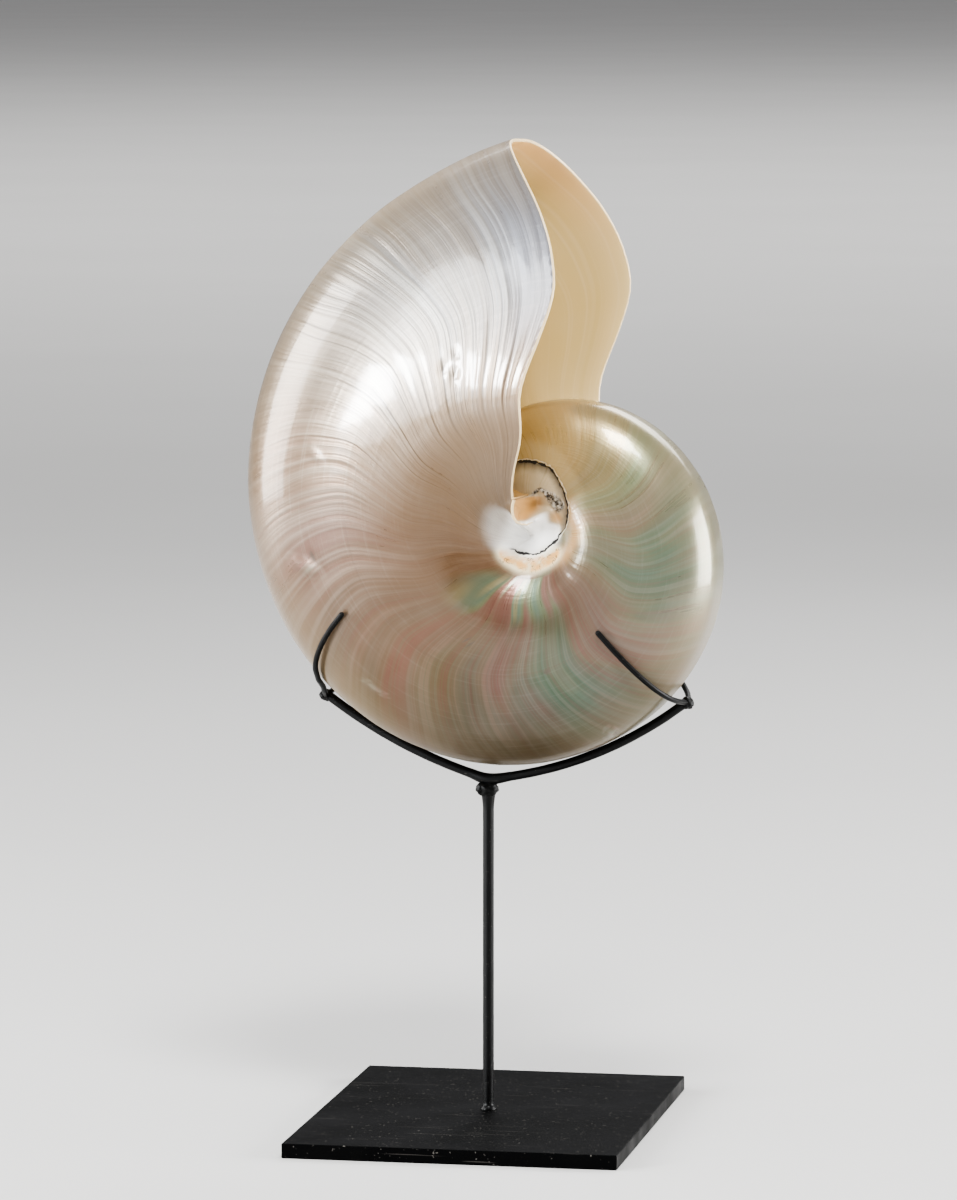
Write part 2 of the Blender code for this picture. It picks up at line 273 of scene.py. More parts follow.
# Ragged dark line where the callus meets the whorl inside: direction from the axis in degrees, distance in mm
CALLUS_LINE_TURN = (-165.0, -140.0, -87.0, -27.0, 6.6, 16.0, 36.0, 50.0, 65.5, 77.0, 87.0, 103.0)
CALLUS_LINE_OUT = (6.2, 5.1, 4.2, 5.2, 7.4, 8.8, 11.7, 13.9, 16.3, 18.9, 19.7, 20.6)
GAP_LIMIT = 8.0

# Crumbly dark specks on the recess floor
CRUMB_TURN = (47.0, 57.0, 72.0, 84.0, 97.0)
CRUMB_OUT = (10.6, 10.9, 11.6, 12.8, 11.0)

# Edge of the white callus
WHITE_TURN = (-90.0, -40.0, -10.0, 9.0, 24.0, 40.0, 62.0, 78.0, 90.0, 105.0, 118.0, 132.0,
              160.0, 180.0, 194.0, 212.0, 232.0, 270.0)
WHITE_OUT = (4.2, 4.6, 6.0, 7.4, 7.2, 6.0, 7.2, 5.4, 4.5, 4.8, 8.0, 10.2, 10.2, 9.0, 8.0, 6.2, 4.6, 4.2)

# Peach band outside the dark line
PEACH_TURN = (-60.0, -13.0, 10.0, 33.0, 48.0)
PEACH_OUT = (8.6, 10.9, 12.5, 12.8, 14.0)

# Healed scars and pits: growth angle, place along the half section, length and width in mm, height in mm, lean
SCARS = (
    (-64.5, 0.404, 3.4, 0.9, 0.22, 70.0),
    (-93.2, 0.347, 4.6, 1.9, 0.34, 60.0),
    (-91.0, 0.372, 2.2, 1.0, -0.25, 20.0),
    (-130.2, 0.290, 3.2, 1.0, 0.26, 10.0),
    (-184.9, 0.485, 1.3, 1.0, -0.34, 0.0),
    (-196.1, 0.130, 3.2, 1.6, 0.28, 80.0),
    (-198.0, 0.118, 2.0, 1.0, -0.22, 60.0),
    (-14.6, 0.596, 3.4, 0.6, -0.30, 0.0),
    (-17.0, 0.575, 2.2, 0.5, -0.24, 10.0),
    (-12.0, 0.560, 1.6, 0.5, -0.20, 0.0),
    (-148.8, 0.581, 3.0, 0.35, -0.10, 65.0),
    (-146.0, 0.590, 2.2, 0.30, -0.08, 60.0),
)
SCAR_REACH = 14.0
SCAR_RIM, SCAR_RIM_WIDTH = 1.35, 0.3464


def polar(points):
    """Distance from the spiral's axis in mm and direction in degrees from -180 to 180."""
    out = np.hypot(points[..., 0], points[..., 2]) / MM
    return out, np.degrees(np.arctan2(points[..., 2], points[..., 0]))


def callus_values(points):
    """Signed gap to the callus line in mm, how far the line shows, and the crumbly place in the recess."""
    out, turn = polar(points)
    line = np.interp(turn, CALLUS_LINE_TURN, CALLUS_LINE_OUT)
    ragged = 0.35 * grid_noise(points, 900.0, 3.1) + 0.25 * grid_noise(points, 2100.0, 7.7)
    gap = np.clip(line + ragged - out, -GAP_LIMIT, GAP_LIMIT)
    shown = (1.0 - ease(turn, 116.0, 124.0)) * (1.0 - ease(-turn, 140.0, 156.0))
    thick = np.interp(turn, (50.0, 68.0, 80.0), (1.7, 1.5, 0.6))
    crumb = bump(out, np.interp(turn, CRUMB_TURN, CRUMB_OUT), thick)
    return gap, shown, crumb * ease(turn, 40.0, 50.0) * (1.0 - ease(turn, 92.0, 99.0))


def recess_relief(points, gap, shown, crumb):
    """Height in mm of the sunk recess inside the callus line, its groove and the crumbs on its floor."""
    flat = points * np.array((1.0, 0.0, 0.0)) + points[..., 2:] * np.array((0.0, 1.0, 0.0))
    height = -0.55 * ease(gap, -0.15, 0.6) * shown - 0.25 * bump(gap, 0.0, 0.35) * shown
    return height + 0.8 * crumb * grid_noise(flat, 1600.0, 11.0)


def callus_whiteness(out, turn):
    """1 on the smooth white callus round the axis, fading outwards; distances in mm."""
    turn = np.where(turn < -90.0, turn + 360.0, turn)
    reach = smooth_curve(turn, WHITE_TURN, WHITE_OUT)
    soft = 0.9 + 2.4 * ease(np.abs(turn - 60.0), 48.0, 80.0)
    pale = 1.0 - 0.62 * ease(turn, 108.0, 122.0) * (1.0 - ease(turn, 178.0, 205.0)) * ease(out, 4.0, 8.5)
    return pale * (1.0 - ease(out, reach - 0.5 * soft, reach + soft))


def stain_amount(out, turn):
    """Peach to orange staining in the worn band below and right of the callus."""
    turn = np.where(turn < -170.0, turn + 360.0, turn)
    below = 1.15 * bump(out, 7.2, 2.2) * ease(turn, -175.0, -145.0) * (1.0 - ease(turn, -35.0, -5.0))
    return np.clip(below, 0.0, 1.0)


def peach_amount(out, turn):
    """Soft peach band outside the dark line, and the orange bit of the recess beside the boss."""
    band = 0.75 * bump(out, np.interp(turn, PEACH_TURN, PEACH_OUT), 2.0)
    band = band * ease(turn, -60.0, -25.0) * (1.0 - ease(turn, 36.0, 56.0))
    return np.clip(band + bump(out, 8.0, 1.5) * bump(turn, 41.0, 16.0), 0.0, 1.0)


def scar_relief(grid, normals):
    """Height and mask of the scars on the viewer's side; the mask is below 0 in a pit."""
    height = np.zeros(grid["here"].shape)
    mask = np.zeros_like(height)
    side = np.gradient(grid["points"], axis=1)
    side /= np.linalg.norm(side, axis=-1, keepdims=True)
    along = np.cross(side, normals)
    for angle, place, long, wide, tall, lean in SCARS:
        miss = np.abs(grid["here"] - angle) * 0.02 + np.abs(grid["across_share"] - place) * 3.0
        centre = np.unravel_index(np.argmin(miss), miss.shape)
        step = (grid["points"] - grid["points"][centre]) / MM
        u, v = step @ along[centre], step @ side[centre]
        c, s = math.cos(math.radians(lean)), math.sin(math.radians(lean))
        reach = np.hypot((u * c + v * s) / long, (v * c - u * s) / wide)
        local = np.linalg.norm(step, axis=-1) <= SCAR_REACH
        raised = tall > 0.0
        core = local * bump(reach, 0.0, 1.0)
        rim = local * bump(reach, SCAR_RIM, SCAR_RIM_WIDTH) * (1.0 if raised else 0.4)
        height += (core - 0.35 * rim) * tall * MM
        fresh = np.maximum(core, 0.6 * rim) if raised else -core
        mask = np.where(np.abs(fresh) > np.abs(mask), fresh, mask)
    return height, mask


def wrinkles(grid):
    """Coarse growth wrinkles that gather towards the lip, and the whole shell's faint waves."""
    growth, share = grid["growth"], grid["across_share"]
    side = np.abs(share)

    def waves(along, across, layer, seed):
        at = np.stack([growth * along, share * across, np.full_like(share, layer)], axis=-1)
        return grid_noise(at, 1.0, seed)

    near_lip = ease(growth, -34.0, -4.0) * ease(side, 0.12, 0.35) * (1.0 - 0.6 * ease(side, 0.75, 0.9))
    size = near_lip * (0.17 * waves(0.42, 5.0, 0.0, 1.0) + 0.06 * waves(1.15, 9.0, 1.0, 2.0))
    size += 0.05 * ease(grid["here"], -320.0, -290.0) * waves(0.294, 3.5, 0.0, 9.0)
    size += (0.10 + 0.16 * ease(growth, -60.0, -15.0)) * waves(0.09, 3.0, 5.0, 4.0)
    return size * MM


# The core, where the lip's end curls in over the axis: distance in mm, direction in degrees, height in mm
CURL = np.array((
    (11.0, 100.4, 30.6), (9.6, 105.0, 30.1), (7.8, 109.5, 29.4), (6.2, 112.5, 28.5), (4.8, 110.0, 27.4),
    (4.0, 98.0, 26.2), (3.8, 82.0, 25.0), (4.8, 68.0, 23.6), (5.9, 62.0, 22.8)))
CURL_POINTS = 80
CURL_WIDTH = 0.33
CURL_SHELTER = 2.4
AXIS_HEIGHT = 18.0
FILM_ROUNDS, ROUND_ROUNDS, RING_ROUNDS = 1500, 16, 3
BEAD_SIDES = 13
BEAD_SIZE = 0.42


def curl_line():
    """Fine points along the curl: distance in mm, direction in degrees, height in mm."""
    steps = np.linspace(0, len(CURL) - 1, CURL_POINTS)
    return np.stack([np.interp(steps, range(len(CURL)), column) for column in CURL.T], axis=1)


def curl_bead(line, side):
    """The lip's rounded edge along the curl, thinning out where it runs into the boss."""
    out, angle, height = line[:, 0], np.radians(line[:, 1]), line[:, 2]
    centre = np.stack([out * np.cos(angle), -side * (height - 0.1), out * np.sin(angle)], axis=1)
    along = np.gradient(centre, axis=0)
    along /= np.linalg.norm(along, axis=1)[:, None]
    outward = np.cross(along, np.array([0.0, 1.0, 0.0]))
    outward /= np.linalg.norm(outward, axis=1)[:, None]
    upward = np.cross(outward, along)
    share = np.linspace(0.0, 1.0, len(line))
    centre += outward * np.interp(share, (0.0, 0.5), (BEAD_SIZE, 0.0))[:, None]
    size = np.interp(share, (0.0, 0.6, 1.0), (BEAD_SIZE, 0.32, 0.04))[:, None, None]
    turns = np.linspace(0.0, 2.0 * math.pi, BEAD_SIDES)[None, :, None]
    return (centre[:, None] + size * (np.cos(turns) * outward[:, None] + np.sin(turns) * upward[:, None])) * MM


def beside(height):
    """Sum of the two neighbours round each ring."""
    return np.roll(height, 1, axis=1) + np.roll(height, -1, axis=1)


def stretch_film(height, pinned, ring):
    """Relaxes the rings to a film stretched between the pinned places; also gives the middle's height."""
    step = (np.gradient(ring[:, 0]) ** 2)[:, None]
    arc = (ring * 2 * math.pi / height.shape[1]) ** 2
    middle = AXIS_HEIGHT
    for _ in range(FILM_ROUNDS):
        outer = np.vstack([height[:1], height[:-1]])
        inner = np.vstack([height[1:], np.full((1, height.shape[1]), middle)])
        fresh = ((outer + inner) / step + beside(height) / arc) / (2.0 / step + 2.0 / arc)
        height = np.where(pinned, height, fresh)
        middle = height[-1].mean()
    return height, middle


def core_patch(skin, rim, cliff, here, side, shown_rim):
    """Smooth callus over the axis inside a rim of vertex numbers; the cliff is the lip's end, from the top."""
    rim_points = np.concatenate(skin.points)[rim]
    rim_sunk = recess_relief(rim_points, *callus_values(rim_points * np.array((1.0, 0.0, 1.0))))
    rim_height = -side * rim_points[:, 1] / MM - np.where(shown_rim, rim_sunk, 0.0)
    shares = (np.linspace(1.0, 0.0, CORE_RINGS + 1)[:-1] ** 0.9)[:, None]
    ring = shares * CORE_RADIUS / MM
    angle = np.radians(polar(rim_points)[1])[None, :]
    u, v = ring * np.cos(angle), ring * np.sin(angle)
    direction = np.degrees(np.arctan2(v, u))
    floor = np.stack([u, np.zeros_like(u), v], axis=-1) * MM

    # Where the whorl's own surface would run on, and the way to the curl
    radius = whorl_radius(here)[None, :]
    running_on = np.interp(-ring * MM / radius, -PROFILE_OUT, PROFILE_ACROSS) * radius / MM
    line = curl_line()
    turn = np.radians(line[:, 1])
    far = np.hypot(u[..., None] - line[:, 0] * np.cos(turn), v[..., None] - line[:, 0] * np.sin(turn))
    curl_height, to_curl = line[np.argmin(far, axis=-1), 2], np.min(far, axis=-1)
    past_curl = np.interp(ring, CURL[3::-1, 0], CURL[3::-1, 1]) - direction

    # Height, pinned on the rim, on the curl and in the hollow that the curl shelters
    on_curl = to_curl < CURL_WIDTH
    hollow = (direction > 22.0) & (past_curl > 0.0) & (ring > 7.6) & (to_curl > CURL_SHELTER)
    height = AXIS_HEIGHT + (rim_height - AXIS_HEIGHT) * shares
    height = np.where(on_curl, curl_height, height)
    height = np.where(hollow, running_on, height)
    pinned = on_curl | hollow
    pinned[0], height[0] = True, rim_height
    height, middle = stretch_film(height, pinned, ring)
    keep = ease(ring, 6.2, CORE_RADIUS / MM) * (1.0 - bump(to_curl, 0.0, CURL_SHELTER))
    height = keep * running_on + (1.0 - keep) * height
    for _ in range(ROUND_ROUNDS):
        soft = 0.5 * height + 0.25 * beside(height)
        soft[0] = rim_height
        height = np.where(on_curl, curl_height, soft)
    for _ in range(RING_ROUNDS):
        height[1:-1] = 0.5 * height[1:-1] + 0.25 * (height[:-2] + height[2:])
        height = np.where(on_curl, curl_height, height)

    # Boss, small boss and the sunk recess
    gap, shown, crumb = callus_values(floor)
    shown = shown * np.where(direction > 85.0, ease(past_curl, -2.0, 0.5), 1.0)
    boss = 2.2 * np.exp(-((u - 3.1) ** 2 / 2.4 + (v - 5.7) ** 2 / 1.8))
    small_boss = 0.7 * np.exp(-((u - 0.6) ** 2 + (v - 4.6) ** 2) / 0.9)
    height[1:] += (boss + small_boss + recess_relief(floor, gap, shown, crumb))[1:]
    height += 0.10 * grid_noise(np.stack([u, v, np.zeros_like(u)], axis=-1), 0.5, 4.0) * (1.0 - shares)

    # Painted shade, partly the callus's own tan: the wall under the curl gets a strong peach tone and loses
    # its white
    wall = ease(past_curl, -1.5, 1.0) * ease(ring, 4.2, 5.4) * ease(direction, 70.0, 96.0)
    looks = {
        "growth": here[None, :] - lip_lead(np.clip(ring * MM / radius, 0.0, 1.0)),
        "across": side * (1.0 - (1.0 - CLIFF_SHARE) * shares),
        "rim_gap": gap,
        "lined": shown,
        "crumb": crumb,
        "peach": np.maximum(peach_amount(ring, direction), 1.3 * wall),
        "callus": callus_whiteness(ring, direction) * (1.0 - wall),
        "stain": stain_amount(ring, direction),
    }
    points = np.stack([u * MM, -side * height * MM, v * MM], axis=-1)
    inner = skin.add(points[1:], **{name: value[1:] for name, value in looks.items()})
    skin.quads(skin.add(curl_bead(line, side), across=0.5), LIP, flip=side > 0)
    centre = skin.add([[0.0, -side * middle * MM, 0.0]], growth=-120.0, across=side, rim_gap=6.0, callus=1.0)
    skin.quads(np.vstack([rim, inner, np.full_like(rim, centre[0])]), OUTSIDE, flip=side < 0)
    skin.quads(np.stack([inner[:, -1], inner[:, 0]], axis=1), OUTSIDE, flip=side < 0)

    # Fan from the lip's end to the patch
    half = len(cliff) // 2
    ends = [inner[0, 0]] * half + [inner[0, -1]] * (len(cliff) - half)
    for top, bottom, end in zip(cliff[:-1], cliff[1:], ends):
        skin.quads(np.array([[top, end], [bottom, end]]), OUTSIDE, flip=side > 0)
    skin.quads(np.array([[cliff[half], inner[0, 0]], [cliff[half], inner[0, -1]]]), OUTSIDE, flip=side > 0)


# The skin

def growth_columns(lip_turn):
    """Growth angles of the columns, fine at the lip, and the number of the one that the lip stands over."""
    meet = lip_turn - 360.0
    lip = np.linspace(0.0, FINE_LIP_END, 66)
    outer = np.linspace(FINE_LIP_END, meet, 280)[1:]
    inner = np.linspace(meet, COIL_END, 38)[1:]
    return np.concatenate([lip, outer, inner]), len(lip) + len(outer) - 1


def add_outside(skin, grid, normals, flip, lip_turn):
    """The whorl's outside with its relief; returns its numbers, its points and where the lip covers it."""
    plain = grid["points"]
    relief, scar = scar_relief(grid, normals)
    gap, shown, crumb = callus_values(plain)
    out, turn = polar(plain)
    covered = (grid["here"] > -40.0) | (grid["here"] < lip_turn - 384.0)
    gap = np.where(covered, -GAP_LIMIT, gap)
    shown, crumb = np.where(covered, 0.0, shown), np.where(covered, 0.0, crumb)
    fixed = ease(out, CORE_RADIUS / MM, CORE_RADIUS / MM + 0.6)
    sunk = np.where(covered, 0.0, recess_relief(plain, gap, shown, crumb)) * MM
    points = plain + normals * ((relief + wrinkles(grid)) * fixed + sunk)[..., None]
    white = np.where(grid["here"] < lip_turn - 330.0, 0.0, callus_whiteness(out, turn))
    worn = ease(-grid["here"], 100.0, 130.0)
    numbers = skin.add(points, growth=grid["growth"], across=grid["across_share"], rim_gap=gap, lined=shown,
                       crumb=crumb, peach=peach_amount(out, turn) * worn, callus=white,
                       stain=stain_amount(out, turn) * worn, scar=scar)
    skin.quads(numbers, OUTSIDE, flip=flip)
    return numbers, points, covered


def bend_rows(start, corner, end):
    """Rows that run from start to end and bend towards the corner."""
    t = np.linspace(0.0, 1.0, FILLET_STEPS + 1)[1:]
    return (1 - t) ** 2 * start[:, None] + 2 * t * (1 - t) * corner[:, None] + t ** 2 * end[:, None]


def fillet(edge, side, reach):
    """Rows that take an edge of the lining down onto the whorl inside."""
    out, across = np.hypot(edge[:, 0], edge[:, 2]), np.abs(edge[:, 1])
    direction = np.arctan2(edge[:, 2], edge[:, 0])
    angle = LIP_DIRECTION - np.degrees(direction)
    radius = whorl_radius(np.where(angle > 60.0, angle - 360.0, angle) - 360.0)
    land_out = out + reach
    land_share = np.interp(-land_out / radius, -PROFILE_OUT, PROFILE_LENGTH)
    land_across = np.interp(land_share, PROFILE_LENGTH, PROFILE_ACROSS) * radius - FILLET_SINK
    out = bend_rows(out, out - 0.2 * MM, land_out)
    across = bend_rows(across, land_across + 0.12 * (across - land_across), land_across)
    direction = direction[:, None]
    return np.stack([out * np.cos(direction), -side * across, out * np.sin(direction)], axis=-1)


def add_lining(skin, shares, outward):
    """The outside moved inwards by the wall, then down a fillet onto the whorl inside."""
    columns = np.concatenate([np.linspace(0.0, LINING_LIP_END, 22),
                              np.linspace(LINING_LIP_END, CHAMBER_END, 58)[1:]])
    inside = whorl_sheet(columns, shares[::2])
    growth, share = inside["growth"], inside["across_share"]
    inward = sheet_normals(inside["points"]) * outward
    wall = (WALL - (WALL - LIP_WALL) * ease(columns, -THINNING, 0.0))[:, None]
    ripple = grid_noise(np.stack([growth * 0.12, share * 4.0, np.zeros_like(share)], axis=-1), 1.0, 21.0)
    ripple = 0.10 * MM * ripple * ease(-growth, 1.0, 12.0)
    surface = inside["points"] - inward * (wall - ripple)[..., None]
    reach = 0.25 * MM + 6.0 * MM * ease(-columns, 4.0, 40.0)
    far, near = (fillet(surface[:, edge], side, reach) for side, edge in (FAR_SIDE, NEAR_SIDE))
    surface = np.concatenate([far[:, ::-1], surface, near], axis=1)
    pad = ((0, 0), (FILLET_STEPS, FILLET_STEPS))
    lining = skin.add(surface, growth=np.pad(growth, pad, mode="edge"), across=np.pad(share, pad, mode="edge"),
                      depth=-columns[:, None])
    skin.quads(lining, LINING, flip=outward > 0)
    return lining


def add_lip(skin, outer_line, lining_line, behind, flip):
    """Rounded edge from the outside to the lining; at both ends it wears the lining's finish."""
    gathered = np.concatenate(skin.points)
    first, last = gathered[outer_line], gathered[lining_line]
    along = np.gradient(first, axis=0)
    along /= np.linalg.norm(along, axis=1)[:, None]
    forward = np.cross(last - first, along)
    forward /= np.linalg.norm(forward, axis=1)[:, None] + 1e-12
    if np.dot(forward[len(forward) // 2], first[len(first) // 2] - behind) < 0:
        forward = -forward
    swell = 0.5 * np.minimum(np.linalg.norm(last - first, axis=1)[:, None], LIP_WALL)
    across = np.full(len(outer_line), 0.5)
    across[:FILLET_STEPS] = across[-FILLET_STEPS:] = CLIFF_SHARE
    strips = [outer_line]
    for turn in LIP_TURNS:
        turn = math.radians(turn)
        row = first + (last - first) * 0.5 * (1.0 - math.cos(turn)) + forward * swell * math.sin(turn)
        strips.append(skin.add(row, across=across))
    strips = np.array(strips + [lining_line])
    skin.quads(strips[:, FILLET_STEPS:-FILLET_STEPS], LIP, flip=flip)
    for part in (strips[:, :FILLET_STEPS + 1], strips[:, -FILLET_STEPS - 1:]):
        skin.quads(part, LINING, flip=flip)


def add_partition(skin, flip):
    """Domed wall at the back of the living chamber, with the neck of the siphon through it."""
    radius, inner_radius = whorl_radius(PARTITION_ANGLE), whorl_radius(PARTITION_ANGLE - 360.0)
    x, y = (np.linspace(-1.0, 1.0, count) for count in PARTITION_GRID)

    def rail(scale, shift, end):
        share = np.abs(x) * end
        out = np.interp(share, PROFILE_LENGTH, PROFILE_OUT) * scale
        across = np.interp(share, PROFILE_LENGTH, PROFILE_ACROSS) * scale
        path = np.stack([out, across * np.sign(x)], axis=-1)
        along = np.gradient(path, axis=0)
        along /= np.linalg.norm(along, axis=1)[:, None]
        return path + shift * np.stack([-along[:, 1], along[:, 0]], axis=1)

    wall, floor = rail(radius, 0.9 * MM, 0.80), rail(inner_radius, -0.5 * MM, 0.62)
    path = 0.5 * (wall + floor)[:, None] + 0.5 * (wall - floor)[:, None] * y[None, :, None]
    bowl = (1.0 - np.abs(x[:, None]) ** 2.6) * (1.0 - np.abs(y[None, :]) ** 2.2)
    siphon = np.hypot(path[..., 0] - SIPHON_AT * radius, path[..., 1]) / MM
    neck = ease(-siphon, *NECK_EDGE)
    angle = PARTITION_ANGLE + PARTITION_DEPTH * (0.5 - bowl) - NECK_TURN * neck
    angle = angle + COLLAR_TURN * bump(siphon, COLLAR_OUT, COLLAR_WIDTH)
    path = path * (whorl_radius(angle) / radius)[..., None]
    numbers = skin.add(spiral_points(angle, path[..., 0], path[..., 1]), growth=angle, across=0.5, scar=neck)
    skin.quads(numbers, PARTITION, flip=flip)


def make_skin(looks):
    """The whole shell in one piece: outside, lining, lip, callus on both sides and the domed partition."""
    skin = Skin()
    shares = np.linspace(-1.0, 1.0, 2 * BACK_STEPS + 1)
    lip_turn = float(lip_lead(np.array([CORE_RADIUS / LIP_RADIUS]))[0])
    columns, meet = growth_columns(lip_turn)
    grid = whorl_sheet(columns, shares)
    normals = sheet_normals(grid["points"])
    outward = np.sign(np.sum(normals[10, BACK_STEPS] * grid["points"][10, BACK_STEPS]))
    outer, points, covered = add_outside(skin, grid, normals * outward, outward < 0, lip_turn)
    lining = add_lining(skin, shares, outward)

    # The lip's end at both umbilici, from its edge down to the whorl inside
    ends = {}
    for side, edge in (FAR_SIDE, NEAR_SIDE):
        share = np.linspace(0.0, 1.0, FILLET_STEPS + 1)[1:-1, None]
        line = points[0, edge] + (points[meet, edge] - points[0, edge]) * share
        ends[side] = skin.add(line, across=side * CLIFF_SHARE, rim_gap=6.0, lined=1.0, peach=1.0)
    lip_line = np.concatenate([[outer[meet, 0]], ends[-1][::-1], outer[0, ::2], ends[1], [outer[meet, -1]]])
    add_lip(skin, lip_line, lining[0], points[3, BACK_STEPS], outward > 0)

    for side, edge in (NEAR_SIDE, FAR_SIDE):
        rim = outer[:meet + 1, edge]
        cliff = np.concatenate([[rim[0]], ends[side], [rim[-1]]])
        core_patch(skin, rim, cliff, grid["here"][:meet + 1, edge], side, ~covered[:meet + 1, edge])
    add_partition(skin, outward < 0)
    placement = (Matrix.Translation(SPIRAL_CENTRE) @ Matrix.Rotation(math.radians(SHELL_TURN), 4, "Z")
                 @ Matrix.Rotation(math.radians(SHELL_LEAN), 4, "X"))
    return skin.build("nautilus_shell_skin", placement, looks), placement


# The stand's wires and rods

PLATE_THICKNESS = 4.0 * MM
POST_RADIUS = 1.5 * MM
POST_TOP = 92.2 * MM
KEEL_RADIUS = 1.25 * MM
KEEL_BOTTOM = 94.6 * MM
KEEL_LEFT_SAG = 2.2 * MM
KEEL_RIGHT_SAG = 3.9 * MM
KEEL_STEPS = 9
KEEL_END_GAP = 0.55 * MM
WIRE_RADIUS = 0.75 * MM
WIRE_END_STANDOFF = 1.15 * MM
WIRE_LEAST_STANDOFF = 1.1 * MM
WIRE_STEPS = 12
LEFT_WIRE = {"from": -121.0, "to": -108.3, "reach": 53.0, "standoff": 4.2 * MM, "tuck": 2.0 * MM}
RIGHT_WIRE = {"from": -215.7, "to": -213.4, "reach": 66.5, "standoff": 4.7 * MM, "tuck": 0.0}
DOME_ANGLES = (75.0, 55.0, 35.0, 15.0)
WELD_ROWS, WELD_SIDES = 20, 32
MERGE_DISTANCE = 1e-7


def flank_point(angle, turn, side, standoff):
    """Point at a standoff from the outer surface; turn is 0 at the back, 90 at the widest place."""
    def surface(at, at_turn):
        out, across = flank_shares(at_turn)
        radius = whorl_radius(at)
        return Vector(spiral_points(at, out * radius, side * across * radius))

    turn = max(turn, 0.01)
    here = surface(angle, turn)
    along = surface(angle + 0.5, turn) - surface(angle - 0.5, turn)
    normal = along.cross(surface(angle, turn + 0.005) - surface(angle, turn - 0.005)).normalized()
    if normal.dot(here) < 0.0:
        normal = -normal
    return here + normal * standoff


def wire_route(wire, place):
    """Centre line of a clasp wire from one flank, under the shell's back, to the other flank."""
    arms = {}
    for side in (1.0, -1.0):
        arm = []
        for q in np.linspace(0.0, 1.0, WIRE_STEPS + 1).tolist():
            angle = wire["from"] + (wire["to"] - wire["from"]) * q * q
            standoff = wire["standoff"] + (WIRE_END_STANDOFF - wire["standoff"]) * q ** 0.7
            standoff = max(standoff - wire["tuck"] * bump(q, 0.35, 0.22), WIRE_LEAST_STANDOFF)
            arm.append(place @ flank_point(angle, wire["reach"] * q ** 1.5, side, standoff))
        arms[side] = arm
    return arms[1.0][:0:-1] + arms[-1.0]


def keel_route(place):
    """Centre line of the keel rod: two arcs that meet over the post."""
    start = Vector((0.0, 0.0, KEEL_BOTTOM))
    arms = []
    for wire, sag in ((LEFT_WIRE, KEEL_LEFT_SAG), (RIGHT_WIRE, KEEL_RIGHT_SAG)):
        crossing = wire_route(wire, place)[WIRE_STEPS]
        inward = (start - crossing).normalized()
        end = crossing + inward * (WIRE_RADIUS + KEEL_END_GAP)
        below = (Vector((0.0, 0.0, -1.0)) + inward * inward.z).normalized()
        arms.append([start.lerp(end, q) + below * (4.0 * sag * q * (1.0 - q))
                     for q in np.linspace(0.0, 1.0, KEEL_STEPS + 1).tolist()])
    return arms[0][:0:-1] + arms[1]


def fine_route(points, spacing):
    """Even points along a smooth line through the given ones."""
    line = np.array([tuple(p) for p in points])
    ends = np.vstack([2 * line[0] - line[1], line, 2 * line[-1] - line[-2]])
    dense = []
    for k in range(1, len(ends) - 2):
        a, b, c, d = ends[k - 1: k + 3]
        for t in np.linspace(0.0, 1.0, 12, endpoint=False):
            dense.append(0.5 * (2 * b + (c - a) * t + (2 * a - 5 * b + 4 * c - d) * t ** 2
                                + (3 * b - a - 3 * c + d) * t ** 3))
    dense = np.array(dense + [line[-1]])
    length = np.concatenate([[0.0], np.cumsum(np.linalg.norm(np.diff(dense, axis=0), axis=1))])
    want = np.linspace(0.0, length[-1], max(8, int(length[-1] / spacing)))
    return np.stack([np.interp(want, length, dense[:, k]) for k in range(3)], axis=1)


def rod_mesh(route, radius, sides, swell, unevenness, seed):
    """Points and faces of a round rod with domed ends; swell is the extra radius at each of its points."""
    along = np.gradient(route, axis=0)
    along /= np.linalg.norm(along, axis=1)[:, None]
    side = np.cross(along[0], (0.3, 0.2, 0.9))
    rings = []
    for centre, heading, extra in zip(route, along, swell):
        side = side - heading * np.dot(side, heading)
        side = side / np.linalg.norm(side)
        size = radius * (1.0 + unevenness * noise.noise(Vector(centre) * 300.0 + Vector((seed, 0, 0))))
        rings.append((centre, heading, side, size + extra))

    def dome(ring, way):
        centre, heading, across, size = ring
        return [(centre + way * heading * size * math.sin(a), heading, across, size * math.cos(a))
                for a in np.radians(DOME_ANGLES)]

    tips = [rings[0][0] - rings[0][1] * rings[0][3], rings[-1][0] + rings[-1][1] * rings[-1][3]]
    rings = dome(rings[0], -1.0) + rings + dome(rings[-1], 1.0)[::-1]
    turns = np.linspace(0.0, 2.0 * math.pi, sides, endpoint=False)
    points = []
    for centre, heading, across, size in rings:
        up = np.cross(heading, across)
        points.extend(centre + size * (math.cos(t) * across + math.sin(t) * up) for t in turns)
    faces = ring_faces(len(rings), sides)
    total, last = len(points), len(points) - sides
    for j in range(sides):
        n = (j + 1) % sides
        faces += [(total, n, j), (total + 1, last + j, last + n)]
    return points + tips, faces


def ring_faces(rings, sides):
    """Faces between rings of points that follow each other."""
    numbers = np.arange(rings * sides).reshape(rings, sides)
    onward = np.roll(numbers, -1, axis=1)
    return np.stack([numbers[:-1], onward[:-1], onward[1:], numbers[1:]], axis=-1).reshape(-1, 4).tolist()


def weld_mesh(centre, size, lumps, seed):
    """Points and faces of a lumpy run of weld around a joint."""
    points = []
    for i in range(WELD_ROWS + 1):
        lat = math.pi * i / WELD_ROWS
        for j in range(WELD_SIDES):
            lon = 2.0 * math.pi * j / WELD_SIDES
            way = Vector((math.sin(lat) * math.cos(lon), math.sin(lat) * math.sin(lon), math.cos(lat)))
            bulge = 1.0 + lumps * noise.noise(way * 1.9 + Vector((seed, seed, 0.0)))
            bulge += 0.45 * lumps * noise.noise(way * 4.6 + Vector((0.0, seed, seed)))
            points.append(Vector(centre) + way * Vector(size) * bulge)
    return points, ring_faces(WELD_ROWS + 1, WELD_SIDES)


